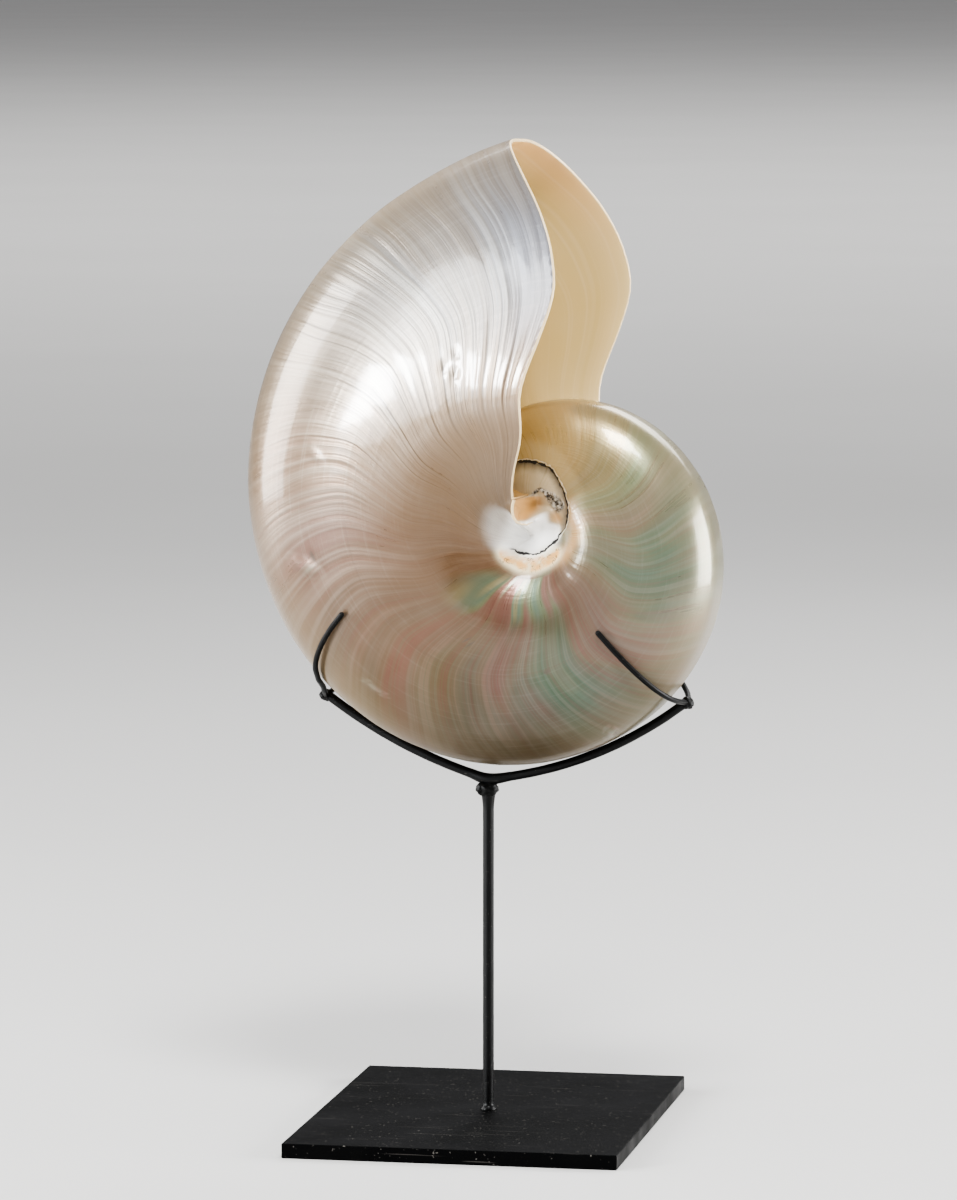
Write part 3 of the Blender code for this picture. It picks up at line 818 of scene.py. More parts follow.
def stand_piece(name, parts, look):
    """One piece from several closed meshes."""
    points, faces = [], []
    for part_points, part_faces in parts:
        base = len(points)
        points.extend(tuple(p) for p in part_points)
        faces.extend(tuple(base + k for k in face) for face in part_faces)
    mesh = bpy.data.meshes.new(name)
    mesh.from_pydata(points, [], faces)
    mesh.materials.append(look)
    return finish_piece(name, mesh, MERGE_DISTANCE)


def make_stand(place, look):
    """Post, keel and clasp wires, with their welds."""
    foot = PLATE_THICKNESS
    height = np.linspace(foot + POST_RADIUS * 0.2, POST_TOP - 1.5 * MM, 150)
    route = np.stack([0.0 * height, 0.0 * height, height], axis=1)
    swell = 0.9 * MM * ease(-height, -(foot + 1.3 * MM), -foot)
    swell += 0.5 * MM * ease(height, POST_TOP - 6 * MM, POST_TOP)
    post = rod_mesh(route, POST_RADIUS, 28, swell, 0.012, 1.0)
    joint = weld_mesh((-0.2 * MM, 0.0, POST_TOP - 0.3 * MM), (2.9 * MM, 2.5 * MM, 2.3 * MM), 0.22, 2.3)
    drip = weld_mesh((-1.9 * MM, -0.8 * MM, POST_TOP - 0.1 * MM), (1.4 * MM, 1.3 * MM, 1.5 * MM), 0.25, 5.1)
    pieces = {"post": stand_piece("post_rod", [post, joint, drip], look)}

    keel = fine_route(keel_route(place), 0.7 * MM)
    gap = np.linalg.norm(keel - np.array((0.0, 0.0, KEEL_BOTTOM)), axis=1)
    parts = [rod_mesh(keel, KEEL_RADIUS, 20, 0.35 * MM * bump(gap, 0.0, 4.0 * MM), 0.02, 4.0)]
    for wire, seed in ((LEFT_WIRE, 1.7), (RIGHT_WIRE, 6.2)):
        crossing = wire_route(wire, place)[WIRE_STEPS]
        parts.append(weld_mesh(crossing, (1.75 * MM, 1.7 * MM, 1.65 * MM), 0.26, seed))
    pieces["cradle_keel"] = stand_piece("keel_rod", parts, look)

    for node, wire, seed in (("left_clasp_wire", LEFT_WIRE, 8.0), ("right_clasp_wire", RIGHT_WIRE, 12.0)):
        route = fine_route(wire_route(wire, place), 0.6 * MM)
        rod = rod_mesh(route, WIRE_RADIUS, 16, np.zeros(len(route)), 0.03, seed)
        pieces[node] = stand_piece(node + "_bent", [rod], look)
    return pieces


# Finishes

class Sheet:
    """Short hand for laying out a node tree."""

    def __init__(self, tree):
        self.tree = tree

    def node(self, kind, inputs=None, **settings):
        made = self.tree.nodes.new(kind)
        for name, value in settings.items():
            setattr(made, name, value)
        for key, value in (inputs or {}).items():
            self.feed(made.inputs[key], value)
        return made

    def feed(self, socket, value):
        if isinstance(value, bpy.types.NodeSocket):
            self.tree.links.new(value, socket)
        elif hasattr(socket.default_value, "__len__") and len(value) < len(socket.default_value):
            socket.default_value = (*value, 1.0)
        else:
            socket.default_value = value

    def group(self, tree, **inputs):
        return self.node("ShaderNodeGroup", inputs, node_tree=tree).outputs

    def attribute(self, name):
        return self.node("ShaderNodeAttribute", attribute_name=name).outputs["Fac"]

    def place(self):
        return self.node("ShaderNodeTexCoord").outputs["Object"]

    def calc(self, kind, *values):
        made = self.node("ShaderNodeMath", operation=kind)
        for socket, value in zip(made.inputs, values):
            self.feed(socket, value)
        return made.outputs[0]

    def times(self, first, *factors):
        for factor in factors:
            first = self.calc("MULTIPLY", first, factor)
        return first

    def most(self, first, *others):
        for other in others:
            first = self.calc("MAXIMUM", first, other)
        return first

    def vector(self, x, y, z):
        return self.node("ShaderNodeCombineXYZ", {"X": x, "Y": y, "Z": z}).outputs[0]

    def grain(self, vector, scale, detail=2.0, roughness=0.5, distortion=0.0):
        inputs = {"Vector": vector, "Scale": scale, "Detail": detail, "Roughness": roughness,
                  "Distortion": distortion}
        return self.node("ShaderNodeTexNoise", inputs).outputs["Fac"]

    def span(self, value, low, high, to_low=0.0, to_high=1.0, soft=True):
        inputs = {"Value": value, "From Min": low, "From Max": high, "To Min": to_low, "To Max": to_high}
        kind = "SMOOTHSTEP" if soft else "LINEAR"
        return self.node("ShaderNodeMapRange", inputs, interpolation_type=kind).outputs["Result"]

    def near(self, value, centre, far, close):
        """1 where the value is within close of the centre, 0 beyond far."""
        return self.span(self.calc("ABSOLUTE", self.calc("SUBTRACT", value, centre)), far, close)

    def blend(self, amount, first, second, kind="MIX"):
        made = self.node("ShaderNodeMix", {0: amount, 6: first, 7: second}, data_type="RGBA", blend_type=kind)
        return made.outputs[2]

    def tint(self, colour, tone, *amounts):
        """The colour moved towards an 8 bit tone by the product of the amounts."""
        return self.blend(self.times(*amounts), colour, rgb(tone))

    def ramp(self, value, stops):
        made = self.node("ShaderNodeValToRGB", {"Fac": value})
        made.color_ramp.interpolation = "EASE"
        elements = made.color_ramp.elements
        while len(elements) < len(stops):
            elements.new(0.5)
        for element, (at, tone) in zip(elements, stops):
            element.position = at
            element.color = (*rgb(tone), 1.0)
        return made.outputs["Color"]


def rgb(tone):
    """Scene colour of an 8 bit screen colour."""
    return tuple(v / 255.0 / 12.92 if v <= 10 else ((v / 255.0 + 0.055) / 1.055) ** 2.4 for v in tone)


def effect_group(name, inputs, outputs):
    """Node group with float inputs and outputs; returns the tree, its Sheet and both ends."""
    tree = bpy.data.node_groups.new(name, "ShaderNodeTree")
    for title, value in inputs.items():
        socket = tree.interface.new_socket(name=title, in_out="INPUT", socket_type="NodeSocketFloat")
        socket.default_value = value
    for title in outputs:
        tree.interface.new_socket(name=title, in_out="OUTPUT", socket_type="NodeSocketFloat")
    sheet = Sheet(tree)
    return tree, sheet, sheet.node("NodeGroupInput").outputs, sheet.node("NodeGroupOutput").inputs


def along_coil(s, growth, across, growth_speed, across_speed, layer):
    """Texture place that follows the growth lines."""
    return s.vector(s.times(growth, growth_speed), s.times(across, across_speed), layer)


def growth_line_group():
    """Growth lines at three widths, following the shape that the lip had."""
    tree, s, given, out = effect_group("growth_lines", {"Growth": 0.0, "Across": 0.0, "Fineness": 1.0},
                                       ("Fine", "Middle", "Broad", "Height"))
    across = given["Across"]
    bend = s.grain(along_coil(s, given["Growth"], across, 0.05, 2.6, 15.5), 1.0, 1.0)
    growth = s.calc("MULTIPLY_ADD", s.calc("SUBTRACT", bend, 0.5), 6.0, given["Growth"])
    growth = s.times(growth, given["Fineness"])
    lines = {}
    for title, *speeds in (("Fine", 2.3, 0.9, 0.37), ("Middle", 0.62, 0.8, 4.41), ("Broad", 0.13, 1.6, 9.29)):
        lines[title] = s.grain(along_coil(s, growth, across, *speeds), 1.0, 1.0, 0.45)
        s.feed(out[title], s.span(lines[title], 0.2, 0.8, soft=False))
    height = s.calc("MULTIPLY_ADD", lines["Fine"], 0.22, lines["Broad"])
    s.feed(out["Height"], s.calc("MULTIPLY_ADD", lines["Middle"], 0.8, height))
    return tree


def striae_group():
    """Very fine lines that run round the coil."""
    tree, s, given, out = effect_group("spiral_striae", {"Growth": 0.0, "Across": 0.0}, ("Lines",))
    at = along_coil(s, given["Growth"], given["Across"], 0.035, 95.0, 2.0)
    s.feed(out["Lines"], s.span(s.grain(at, 1.0, 2.0, 0.6), 0.3, 0.7, soft=False))
    return tree


def handling_group():
    """Fine dust specks, soft smudges and hairline scratches left by handling."""
    tree, s, given, out = effect_group("handling_marks", {"Scale": 1.0}, ("Dust", "Smudge", "Scratch"))
    scaled = s.node("ShaderNodeVectorMath", {0: s.place(), "Scale": given["Scale"]}, operation="SCALE")
    place = scaled.outputs[0]
    s.feed(out["Dust"], s.span(s.grain(place, 1900.0, 1.0, 0.4), 0.70, 0.80))
    s.feed(out["Smudge"], s.span(s.grain(place, 42.0, 3.0, 0.6, 0.4), 0.35, 0.68))
    stretched = s.node("ShaderNodeMapping", {"Vector": place, "Rotation": (0.4, 0.9, 0.7),
                                             "Scale": (60.0, 2600.0, 2600.0)}).outputs[0]
    s.feed(out["Scratch"], s.span(s.grain(stretched, 1.0, 1.0, 0.5), 0.71, 0.78))
    return tree


def start_material(name, **settings):
    """Material with its Sheet and its shader's inputs; the settings are even over the surface."""
    look = bpy.data.materials.new(name)
    look.use_nodes = True
    shader = look.node_tree.nodes["Principled BSDF"].inputs
    for socket, value in settings.items():
        shader[socket.replace("_", " ")].default_value = value
    return look, Sheet(look.node_tree), shader


def bump_into(s, socket, *layers):
    """Chains bump nodes (height, distance in metres, strength) into a Normal socket."""
    inputs = {}
    for height, distance, strength in layers:
        inputs.update({"Height": height, "Distance": distance, "Strength": strength})
        inputs["Normal"] = s.node("ShaderNodeBump", inputs).outputs["Normal"]
    s.feed(socket, inputs["Normal"])


# Tones of the pearl by growth angle, from the oldest turn that the ramps reach (0) to the lip (1)
OLDEST_TONE = -400.0
# From 0.49 to 0.73 the body's tones are dark rose-brown: partly the pearl's colour, partly painted shade on
# the lower turns
BODY_TONES = (
    (0.00, (208, 184, 136)), (0.08, (202, 176, 126)), (0.15, (188, 164, 116)), (0.25, (146, 150, 118)),
    (0.38, (146, 152, 122)), (0.49, (130, 114, 84)), (0.57, (126, 94, 66)), (0.65, (138, 102, 76)),
    (0.73, (148, 114, 88)), (0.80, (172, 148, 128)), (0.87, (198, 190, 182)), (0.95, (200, 200, 202)),
    (1.00, (176, 178, 184)))
BAND_TONES = (
    (0.150, (190, 162, 108)), (0.200, (150, 146, 104)), (0.235, (124, 134, 102)), (0.265, (150, 118, 106)),
    (0.300, (114, 124, 108)), (0.345, (102, 120, 110)), (0.385, (134, 128, 114)), (0.420, (138, 112, 110)),
    (0.452, (124, 100, 96)), (0.474, (68, 104, 94)), (0.505, (50, 98, 86)), (0.530, (96, 84, 84)),
    (0.555, (106, 68, 78)), (0.585, (106, 74, 72)), (0.615, (108, 86, 64)), (0.650, (130, 88, 74)),
    (0.690, (138, 98, 84)), (0.730, (156, 120, 104)), (0.760, (180, 132, 134)), (0.790, (186, 162, 150)))
BAND_STRENGTH = tuple((at, (grey, grey, grey)) for at, grey in (
    (0.0, 0), (0.12, 60), (0.22, 190), (0.40, 225), (0.60, 225), (0.70, 190), (0.80, 110), (0.90, 60),
    (1.0, 50)))
# Painted shade: multiplied over the outside by growth angle. It is darkest on the lower turns, about -150 to
# -100 degrees, where the light falls off, and it also lowers their tone overall
PAINTED_SHADE_TONES = (
    (0.00, (222, 222, 218)), (0.20, (222, 222, 220)), (0.36, (213, 215, 218)), (0.50, (192, 190, 192)),
    (0.62, (177, 170, 163)), (0.75, (166, 155, 144)), (0.85, (179, 172, 161)), (0.93, (190, 188, 183)),
    (1.00, (187, 186, 185)))

# Tones of the iridescence by a slow noise
FIRE_TONES = ((0.0, (140, 88, 88)), (0.3, (168, 128, 104)), (0.48, (150, 150, 110)), (0.62, (92, 134, 100)),
              (0.80, (116, 134, 116)), (1.0, (156, 104, 100)))
THREAD_TONES = ((0.25, (160, 84, 88)), (0.42, (140, 108, 80)), (0.55, (100, 128, 96)), (0.74, (176, 150, 122)))
CORE_TONES = ((0.30, (196, 140, 134)), (0.42, (146, 176, 136)), (0.54, (120, 166, 142)),
              (0.66, (182, 186, 142)), (0.80, (136, 158, 140)))
LINE_TONE = (20, 18, 18)
NACRE_METAL = 0.45
COAT = 0.7


def tone_ramp(s, growth, tones):
    return s.ramp(s.span(growth, OLDEST_TONE, 0.0, soft=False), tones)


def drifted(s, growth, drift, degrees):
    """Growth angle moved to and fro by a noise."""
    return s.calc("MULTIPLY_ADD", s.calc("SUBTRACT", drift, 0.5), degrees, growth)


def pearl_bands(s, growth, across, side, lines):
    """Silver, rose, green and gold of the polished outside, and painted shade at its bottom, before its
    streaks and marks.
    """
    drift = s.grain(along_coil(s, growth, across, 0.03, 2.4, 0.0), 1.0, 2.0)
    body = tone_ramp(s, drifted(s, growth, drift, 30.0), BODY_TONES)
    warp = s.grain(along_coil(s, growth, across, 0.02, 3.0, 12.0), 1.0, 3.0, 0.6)
    bands = tone_ramp(s, drifted(s, growth, warp, 20.0), BAND_TONES)
    fleck = s.grain(along_coil(s, growth, across, 0.06, 2.0, 6.5), 1.0, 1.0, 0.5, 0.3)
    fleck = s.span(fleck, 0.25, 0.75, soft=False)
    threads = s.ramp(s.calc("MULTIPLY_ADD", lines["Fine"], 0.45, s.times(lines["Middle"], 0.55)), THREAD_TONES)
    fire = s.blend(0.20, s.blend(0.26, bands, s.ramp(fleck, FIRE_TONES)), threads)
    vivid = s.node("ShaderNodeHueSaturation", {"Color": fire, "Saturation": 1.2, "Value": 0.94})
    strength = s.times(tone_ramp(s, growth, BAND_STRENGTH), s.span(side, 0.05, 0.4, 0.65, 1.1))
    colour = s.blend(strength, body, vivid.outputs["Color"])
    near_core = s.times(s.span(side, 0.64, 0.72), s.span(side, 0.86, 0.80), s.near(growth, -172.0, 52.0, 34.0),
                        s.span(fleck, 0.25, 0.50, 0.5, 0.95))
    colour = s.blend(near_core, colour, s.ramp(fleck, CORE_TONES))
    # Painted shade with an olive cast: the back is darkened where it runs under the shell's bottom
    colour = s.tint(colour, (80, 80, 52), s.span(side, 0.50, 0.08), s.near(growth, -168.0, 62.0, 8.0), 0.72)
    return s.tint(colour, (166, 160, 118), s.span(side, 0.40, 0.12), s.near(growth, -118.0, 32.0, 8.0), 0.55)


def pearl_streaks(s, colour, growth, side, lines, striae):
    """Pale, tan and cool streaks along the growth lines, the cool tone near the lip partly painted reflection;
    cream back;
    warm brown towards the umbilicus, partly painted shade; healed scars; painted shade over the lower turns.
    """
    young = s.span(growth, -150.0, -70.0)
    for tone, *amounts in (
            ((230, 226, 220), s.span(lines["Middle"], 0.35, 0.85), s.span(young, 0.0, 1.0, 0.05, 0.40)),
            ((142, 120, 98), s.span(lines["Fine"], 0.30, 0.80), s.span(young, 0.0, 1.0, 0.05, 0.34),
             s.span(side, 0.95, 0.7, 0.4, 1.0)),
            ((168, 146, 120), s.span(lines["Broad"], 0.40, 0.75), s.span(growth, -60.0, -8.0), 0.40),
            # partly the silver's own tone, partly painted reflection: cool blue-grey where the cool softbox
            # shows near the lip
            ((184, 190, 206), s.span(growth, -14.0, -4.0), s.near(side, 0.46, 0.2, 0.06), 0.6),
            ((240, 238, 232), s.span(striae, 0.55, 1.0), s.span(young, 0.0, 1.0, 0.03, 0.14)),
            ((196, 168, 126), s.span(side, 0.36, 0.08), s.span(growth, -150.0, -100.0, 0.25, 0.6)),
            # partly tan, partly painted shade: warm brown darkening on the flank towards the umbilicus
            ((154, 120, 78), s.span(side, 0.40, 0.74), s.span(growth, -160.0, -90.0, 0.25, 0.9))):
        colour = s.tint(colour, tone, *amounts)
    scar = s.attribute("scar")
    raised = s.blend(lines["Middle"], rgb((226, 180, 176)), rgb((186, 214, 190)))
    colour = s.blend(s.span(scar, 0.2, 1.0, 0.0, 0.4), colour, raised)
    colour = s.tint(colour, (112, 98, 84), s.span(scar, -0.35, -0.8, 0.0, 0.75))
    worn_ring = s.times(s.near(side, 0.495, 0.006, 0.002), s.near(growth, -150.0, 80.0, 50.0), 0.16)
    colour = s.tint(colour, (120, 92, 72), worn_ring)
    # Painted shade: the lower turns are darkened by growth angle
    return s.blend(1.0, colour, tone_ramp(s, growth, PAINTED_SHADE_TONES), "MULTIPLY")


def core_marks(s, colour, place, gap, lined):
    """Recess, stains, white callus, cracks and the ragged dark line, with painted shade inside the line and a
    painted highlight along its outer side; also masks of the recess and the line.
    """
    callus, stain, crumb = s.attribute("callus"), s.attribute("stain"), s.attribute("crumb")
    inside = s.times(s.span(gap, -0.1, 0.4), lined)
    recess = s.blend(s.grain(place, 180.0, 3.0), rgb((208, 192, 160)), rgb((172, 160, 136)))
    colour = s.blend(inside, colour, recess)
    patch = s.grain(place, 240.0, 3.0, 0.6, 0.4)
    # The peach value also carries the painted shade of the wall under the curl
    colour = s.tint(colour, (190, 138, 70), s.attribute("peach"), 0.7)
    colour = s.tint(colour, (236, 220, 182), s.span(stain, 0.0, 0.7), 0.9)
    colour = s.tint(colour, (226, 162, 74), s.span(stain, 0.35, 0.85), s.span(patch, 0.38, 0.60), 0.8)
    white = s.blend(s.grain(place, 200.0, 3.0), rgb((255, 254, 250)), rgb((250, 246, 238)))
    colour = s.blend(callus, colour, white)
    crack = s.near(s.grain(place, 260.0, 3.0, 0.6, 0.5), 0.5, 0.014, 0.004)
    colour = s.tint(colour, (84, 58, 36), crack, s.span(stain, 0.2, 0.6), s.span(patch, 0.40, 0.56), 0.8)

    # Painted shade: dark grey along the inner side of the dark line, in the recess outside the white callus
    hollow = s.times(s.span(gap, 3.6, 0.0), inside, s.calc("SUBTRACT", 1.0, callus))
    colour = s.tint(colour, (70, 64, 56), hollow, 0.8)
    # Dark grey crumbs on the recess floor, with pale beads among them that are partly painted glints
    pebbles = s.grain(place, 800.0, 3.0, 0.65)
    crumbs_and_painted_glints = s.blend(s.span(pebbles, 0.42, 0.62), rgb((84, 80, 74)), rgb((206, 202, 192)))
    colour = s.blend(s.times(s.span(crumb, 0.1, 0.6), 0.85), colour, crumbs_and_painted_glints)
    edge_gap = s.calc("ADD", gap, s.calc("MULTIPLY_ADD", s.grain(place, 1400.0, 3.0, 0.65), 0.5, -0.25))
    # Painted highlight: a thin pale line along the outer side of the dark line
    colour = s.tint(colour, (250, 242, 224), s.near(edge_gap, -0.55, 0.20, 0.06), lined, 0.55)
    wide = s.calc("MULTIPLY_ADD", s.span(s.grain(place, 500.0, 2.0), 0.35, 0.65), 0.26, 0.08)
    past_line = s.calc("SUBTRACT", s.calc("ABSOLUTE", edge_gap), wide)
    specks = s.times(s.span(crumb, 0.35, 0.8), s.span(pebbles, 0.44, 0.38))
    line = s.most(s.times(s.span(past_line, 0.16, 0.02), lined), specks)
    return s.tint(colour, LINE_TONE, line), inside, line


def polished_nacre(groups):
    """Outside: silver at the lip, rose and green bands lower down, tan under the lip, white callus."""
    look, s, shader = start_material("polished_nacre", Coat_Roughness=0.1)
    growth, across = s.attribute("growth"), s.attribute("across")
    gap, lined = s.attribute("rim_gap"), s.attribute("lined")
    side = s.calc("ABSOLUTE", across)
    lines = s.group(groups["growth"], Growth=growth, Across=across)
    striae = s.group(groups["striae"], Growth=growth, Across=across)["Lines"]
    smudge = s.group(groups["handling"])["Smudge"]
    place = s.place()
    colour = pearl_bands(s, growth, across, side, lines)
    colour = pearl_streaks(s, colour, growth, side, lines, striae)
    colour, inside, line = core_marks(s, colour, place, gap, lined)
    s.feed(shader["Base Color"], s.tint(colour, (170, 160, 148), smudge, 0.06))

    # The worn places and the callus are matt; the underside has a thinner polish
    worn = s.times(s.span(gap, -7.0, -4.0), lined)
    dull = s.most(worn, s.times(s.span(side, 0.20, 0.10), s.span(growth, -50.0, -30.0)))
    under = s.times(s.span(side, 0.62, 0.40), s.near(growth, -175.0, 75.0, 40.0))
    matt = s.most(s.attribute("callus"), dull, inside, s.attribute("stain"), s.attribute("peach"))
    rough = s.calc("MULTIPLY_ADD", lines["Middle"], 0.06, 0.25)
    for amount, more in ((smudge, 0.05), (line, 0.35), (s.span(side, 0.76, 0.88), 0.12), (under, 0.14)):
        rough = s.calc("MULTIPLY_ADD", amount, more, rough)
    s.feed(shader["Roughness"], rough)
    s.feed(shader["Metallic"], s.times(s.calc("SUBTRACT", 1.0, matt), NACRE_METAL))
    s.feed(shader["Coat Weight"], s.calc("MULTIPLY_ADD", s.most(dull, s.times(under, 0.9)), -0.6, COAT))
    bump_into(s, shader["Normal"],
              (s.times(lines["Height"], s.span(growth, -150.0, -20.0, 0.05, 1.0)), 0.0005, 0.9),
              (striae, 0.00004, 0.4),
              (s.grain(place, 900.0, 2.0), 0.00002, 0.3))
    return look


def chamber_lining(groups):
    """Cream to tan satin lining of the living chamber, warmer towards the lip."""
    look, s, shader = start_material("chamber_lining", Metallic=0.08, Coat_Weight=0.12, Coat_Roughness=0.25)
    growth, across, depth = s.attribute("growth"), s.attribute("across"), s.attribute("depth")
    side = s.calc("ABSOLUTE", across)
    lines = s.group(groups["growth"], Growth=growth, Across=across, Fineness=0.55)
    striae = s.group(groups["striae"], Growth=growth, Across=across)["Lines"]
    smudge = s.group(groups["handling"], Scale=0.8)["Smudge"]
    place = s.place()
    cloud = s.grain(place, 24.0, 3.0, 0.55)
    colour = s.ramp(s.span(depth, 0.0, 128.0, soft=False), (
        (0.0, (216, 190, 132)), (0.05, (192, 166, 104)), (0.25, (176, 148, 86)), (0.6, (178, 156, 102)),
        (1.0, (184, 176, 152))))
    colour = s.tint(colour, (200, 180, 132), s.span(cloud, 0.4, 0.7), 0.30)
    colour = s.tint(colour, (216, 152, 84), s.span(depth, 9.0, 0.0), s.span(side, 0.5, 0.1), 0.6)
    colour = s.tint(colour, (206, 178, 134), lines["Middle"], 0.14)
    colour = s.tint(colour, (242, 228, 200), s.span(lines["Fine"], 0.5, 1.0), 0.10)
    colour = s.tint(colour, (196, 170, 130), striae, 0.05)
    s.feed(shader["Base Color"], s.tint(colour, (196, 160, 108), s.span(side, 0.80, 0.90)))
    s.feed(shader["Roughness"], s.calc("MULTIPLY_ADD", smudge, 0.10, s.span(cloud, 0.3, 0.7, 0.36, 0.46)))
    bump_into(s, shader["Normal"], (lines["Height"], 0.00012, 0.35), (striae, 0.00003, 0.2),
              (s.grain(place, 700.0, 2.0), 0.00003, 0.3))
    return look


def cut_lip(groups):
    """Thin bright cream edge of the lip."""
    look, s, shader = start_material("cut_lip", Coat_Weight=0.25, Coat_Roughness=0.15)
    tone = s.grain(s.place(), 420.0, 3.0, 0.6)
    colour = s.blend(tone, rgb((240, 220, 180)), rgb((220, 190, 140)))
    smudge = s.group(groups["handling"])["Smudge"]
    s.feed(shader["Base Color"], s.tint(colour, (206, 180, 140), smudge, 0.2))
    s.feed(shader["Roughness"], s.span(tone, 0.3, 0.7, 0.28, 0.44))
    bump_into(s, shader["Normal"], (tone, 0.00006, 0.5))
    return look


def partition_nacre(groups):
    """Milky nacre of the domed wall, dark in the siphon's neck."""
    look, s, shader = start_material("partition_nacre", Metallic=0.2, Coat_Weight=0.3, Coat_Roughness=0.12)
    place = s.place()
    smudge = s.group(groups["handling"], Scale=0.7)["Smudge"]
    cloud = s.grain(place, 60.0, 3.0, 0.55, 0.3)
    colour = s.ramp(cloud, ((0.3, (214, 206, 190)), (0.5, (226, 218, 206)), (0.62, (206, 214, 202)),
                            (0.75, (224, 204, 198))))
    s.feed(shader["Base Color"], s.tint(colour, (46, 38, 30), s.attribute("scar")))
    s.feed(shader["Roughness"], s.calc("MULTIPLY_ADD", smudge, 0.12, 0.26))
    bump_into(s, shader["Normal"], (cloud, 0.0001, 0.3), (s.grain(place, 800.0, 2.0), 0.00002, 0.3))
    return look


def satin_black(name, groups, grain_scale, dust_amount, shine):
    """Black painted or waxed steel with faint unevenness, dust and rubbed places."""
    look, s, shader = start_material(name, Specular_IOR_Level=shine)
    place = s.place()
    marks = s.group(groups["handling"], Scale=grain_scale)
    tone = s.grain(place, 120.0 * grain_scale, 4.0, 0.6)
    colour = s.blend(tone, rgb((3, 3, 4)), rgb((8, 8, 8)))
    colour = s.tint(colour, (17, 17, 16), marks["Smudge"], 0.25)
    colour = s.tint(colour, (92, 88, 84), marks["Scratch"], 0.35)
    s.feed(shader["Base Color"], s.tint(colour, (128, 124, 118), marks["Dust"], dust_amount))
    rough = s.calc("MULTIPLY_ADD", marks["Smudge"], 0.14, s.span(tone, 0.3, 0.7, 0.28, 0.42))
    s.feed(shader["Roughness"], s.calc("MULTIPLY_ADD", marks["Dust"], 0.3, rough))
    bump_into(s, shader["Normal"], (tone, 0.00008, 0.35), (s.grain(place, 2600.0, 2.0), 0.00003, 0.35))
    return look


def studio_floor():
    look, s, shader = start_material("studio_floor", Roughness=0.65)
    cloud = s.grain(s.place(), 3.0, 3.0)
    s.feed(shader["Base Color"], s.blend(cloud, rgb((204, 203, 201)), rgb((212, 211, 209))))
    return look


# Studio

FLOOR_REACH = 40.0
AIM = Vector((0.0, 0.0, 0.16))
WHITE, COOL, COOLISH = (1.0, 1.0, 1.0), (0.93, 0.97, 1.0), (0.95, 0.98, 1.0)

# Softboxes: degrees right of the viewer's side, degrees up, metres away, width, height, watts, colour
SOFTBOXES = {
    "left_strip": (-86.0, 8.0, 1.1, 0.50, 0.80, 18.0, WHITE),
    "left_front_softbox": (-45.0, 13.0, 1.25, 0.22, 0.80, 9.0, COOL),
    "left_front_core": (-47.0, 5.0, 1.2, 0.13, 0.18, 11.0, COOLISH),
    "top_front_softbox": (17.0, 56.0, 1.3, 0.35, 0.35, 20.0, WHITE),
    "right_softbox": (98.0, 2.0, 1.0, 0.80, 0.60, 25.0, WHITE),
    "back_softbox": (165.0, 35.0, 1.3, 0.7, 0.7, 6.0, WHITE),
}
WASH_PLACE, WASH_AIM, WASH_SIZE, WASH_POWER = (0.0, 5.0, 4.0), (0.0, 7.0, 0.0), 5.0, 260.0
SKY_COLOUR, SKY_STRENGTH = (0.90, 0.90, 0.92, 1.0), 0.34

CAMERA_PLACE = (0.3166, -1.7146, 0.3352)
CAMERA_TURN, CAMERA_PITCH = 10.55, 6.28
CAMERA_LENS, CAMERA_SENSOR = 195.0, 36.0


def make_floor(look):
    mesh = bpy.data.meshes.new("floor")
    corners = [(x * FLOOR_REACH, y * FLOOR_REACH, 0.0) for x, y in ((-1, -1), (1, -1), (1, 1), (-1, 1))]
    mesh.from_pydata(corners, [], [(0, 1, 2, 3)])
    mesh.materials.append(look)
    link_object("floor", mesh)


def add_softbox(name, location, target, width, height, power, colour):
    light = bpy.data.lights.new(name, "AREA")
    light.shape = "RECTANGLE"
    light.size, light.size_y = width, height
    light.energy = power
    light.color = colour
    lamp = link_object(name, light)
    lamp.location = location
    lamp.rotation_mode = "QUATERNION"
    lamp.rotation_quaternion = (Vector(target) - Vector(location)).to_track_quat("-Z", "Y")


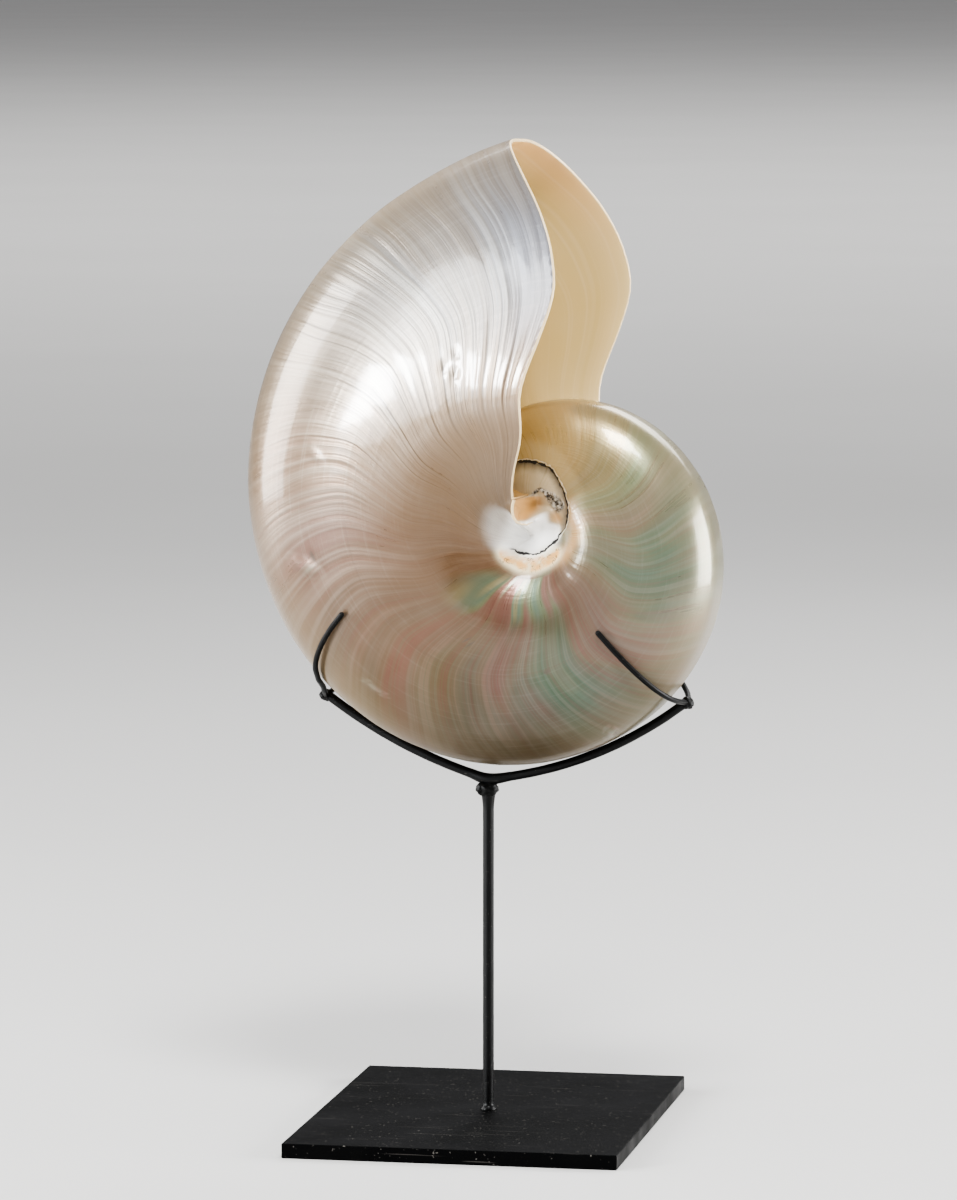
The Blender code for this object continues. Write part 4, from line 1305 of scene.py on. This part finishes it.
def make_studio():
    """Soft light from the left, a small one beside the camera, one above it, a tall one from the right."""
    for name, (turn, rise, distance, *rest) in SOFTBOXES.items():
        a, e = math.radians(turn), math.radians(rise)
        way = Vector((math.sin(a) * math.cos(e), -math.cos(a) * math.cos(e), math.sin(e)))
        add_softbox(name, AIM + way * distance, AIM, *rest)
    add_softbox("floor_wash", WASH_PLACE, WASH_AIM, WASH_SIZE, WASH_SIZE, WASH_POWER, WHITE)
    world = bpy.data.worlds.new("studio")
    world.use_nodes = True
    background = world.node_tree.nodes["Background"].inputs
    background["Color"].default_value = SKY_COLOUR
    background["Strength"].default_value = SKY_STRENGTH
    bpy.context.scene.world = world
    bpy.context.scene.view_settings.look = "AgX - Medium High Contrast"


def make_camera():
    """Long lens at the photograph's angle: a little from the right and slightly above."""
    turn, pitch = math.radians(CAMERA_TURN), math.radians(CAMERA_PITCH)
    right = Vector((math.cos(turn), math.sin(turn), 0.0))
    forward = Vector((-math.sin(turn) * math.cos(pitch), math.cos(turn) * math.cos(pitch), -math.sin(pitch)))
    lens = bpy.data.cameras.new("camera")
    lens.lens, lens.sensor_width = CAMERA_LENS, CAMERA_SENSOR
    lens.clip_start, lens.clip_end = 0.1, 100.0
    camera = link_object("camera", lens)
    axes = Matrix((right, right.cross(forward), -forward)).transposed().to_4x4()
    camera.matrix_world = Matrix.Translation(CAMERA_PLACE) @ axes
    bpy.context.scene.camera = camera


def main():
    groups = {"growth": growth_line_group(), "striae": striae_group(), "handling": handling_group()}
    looks = [polished_nacre(groups), chamber_lining(groups), cut_lip(groups), partition_nacre(groups)]
    skin, place = make_skin(looks)
    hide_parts("nautilus_shell")
    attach(skin, "root")

    metal = satin_black("satin_black_wire", groups, 1.0, 0.2, 0.16)
    for node, piece in make_stand(place, metal).items():
        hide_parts(node)
        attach(piece, "root")
    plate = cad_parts["base_plate"]
    plate.data.materials.clear()
    plate.data.materials.append(satin_black("satin_black_plate", groups, 0.6, 0.4, 0.03))

    make_floor(studio_floor())
    make_studio()
    make_camera()


main()
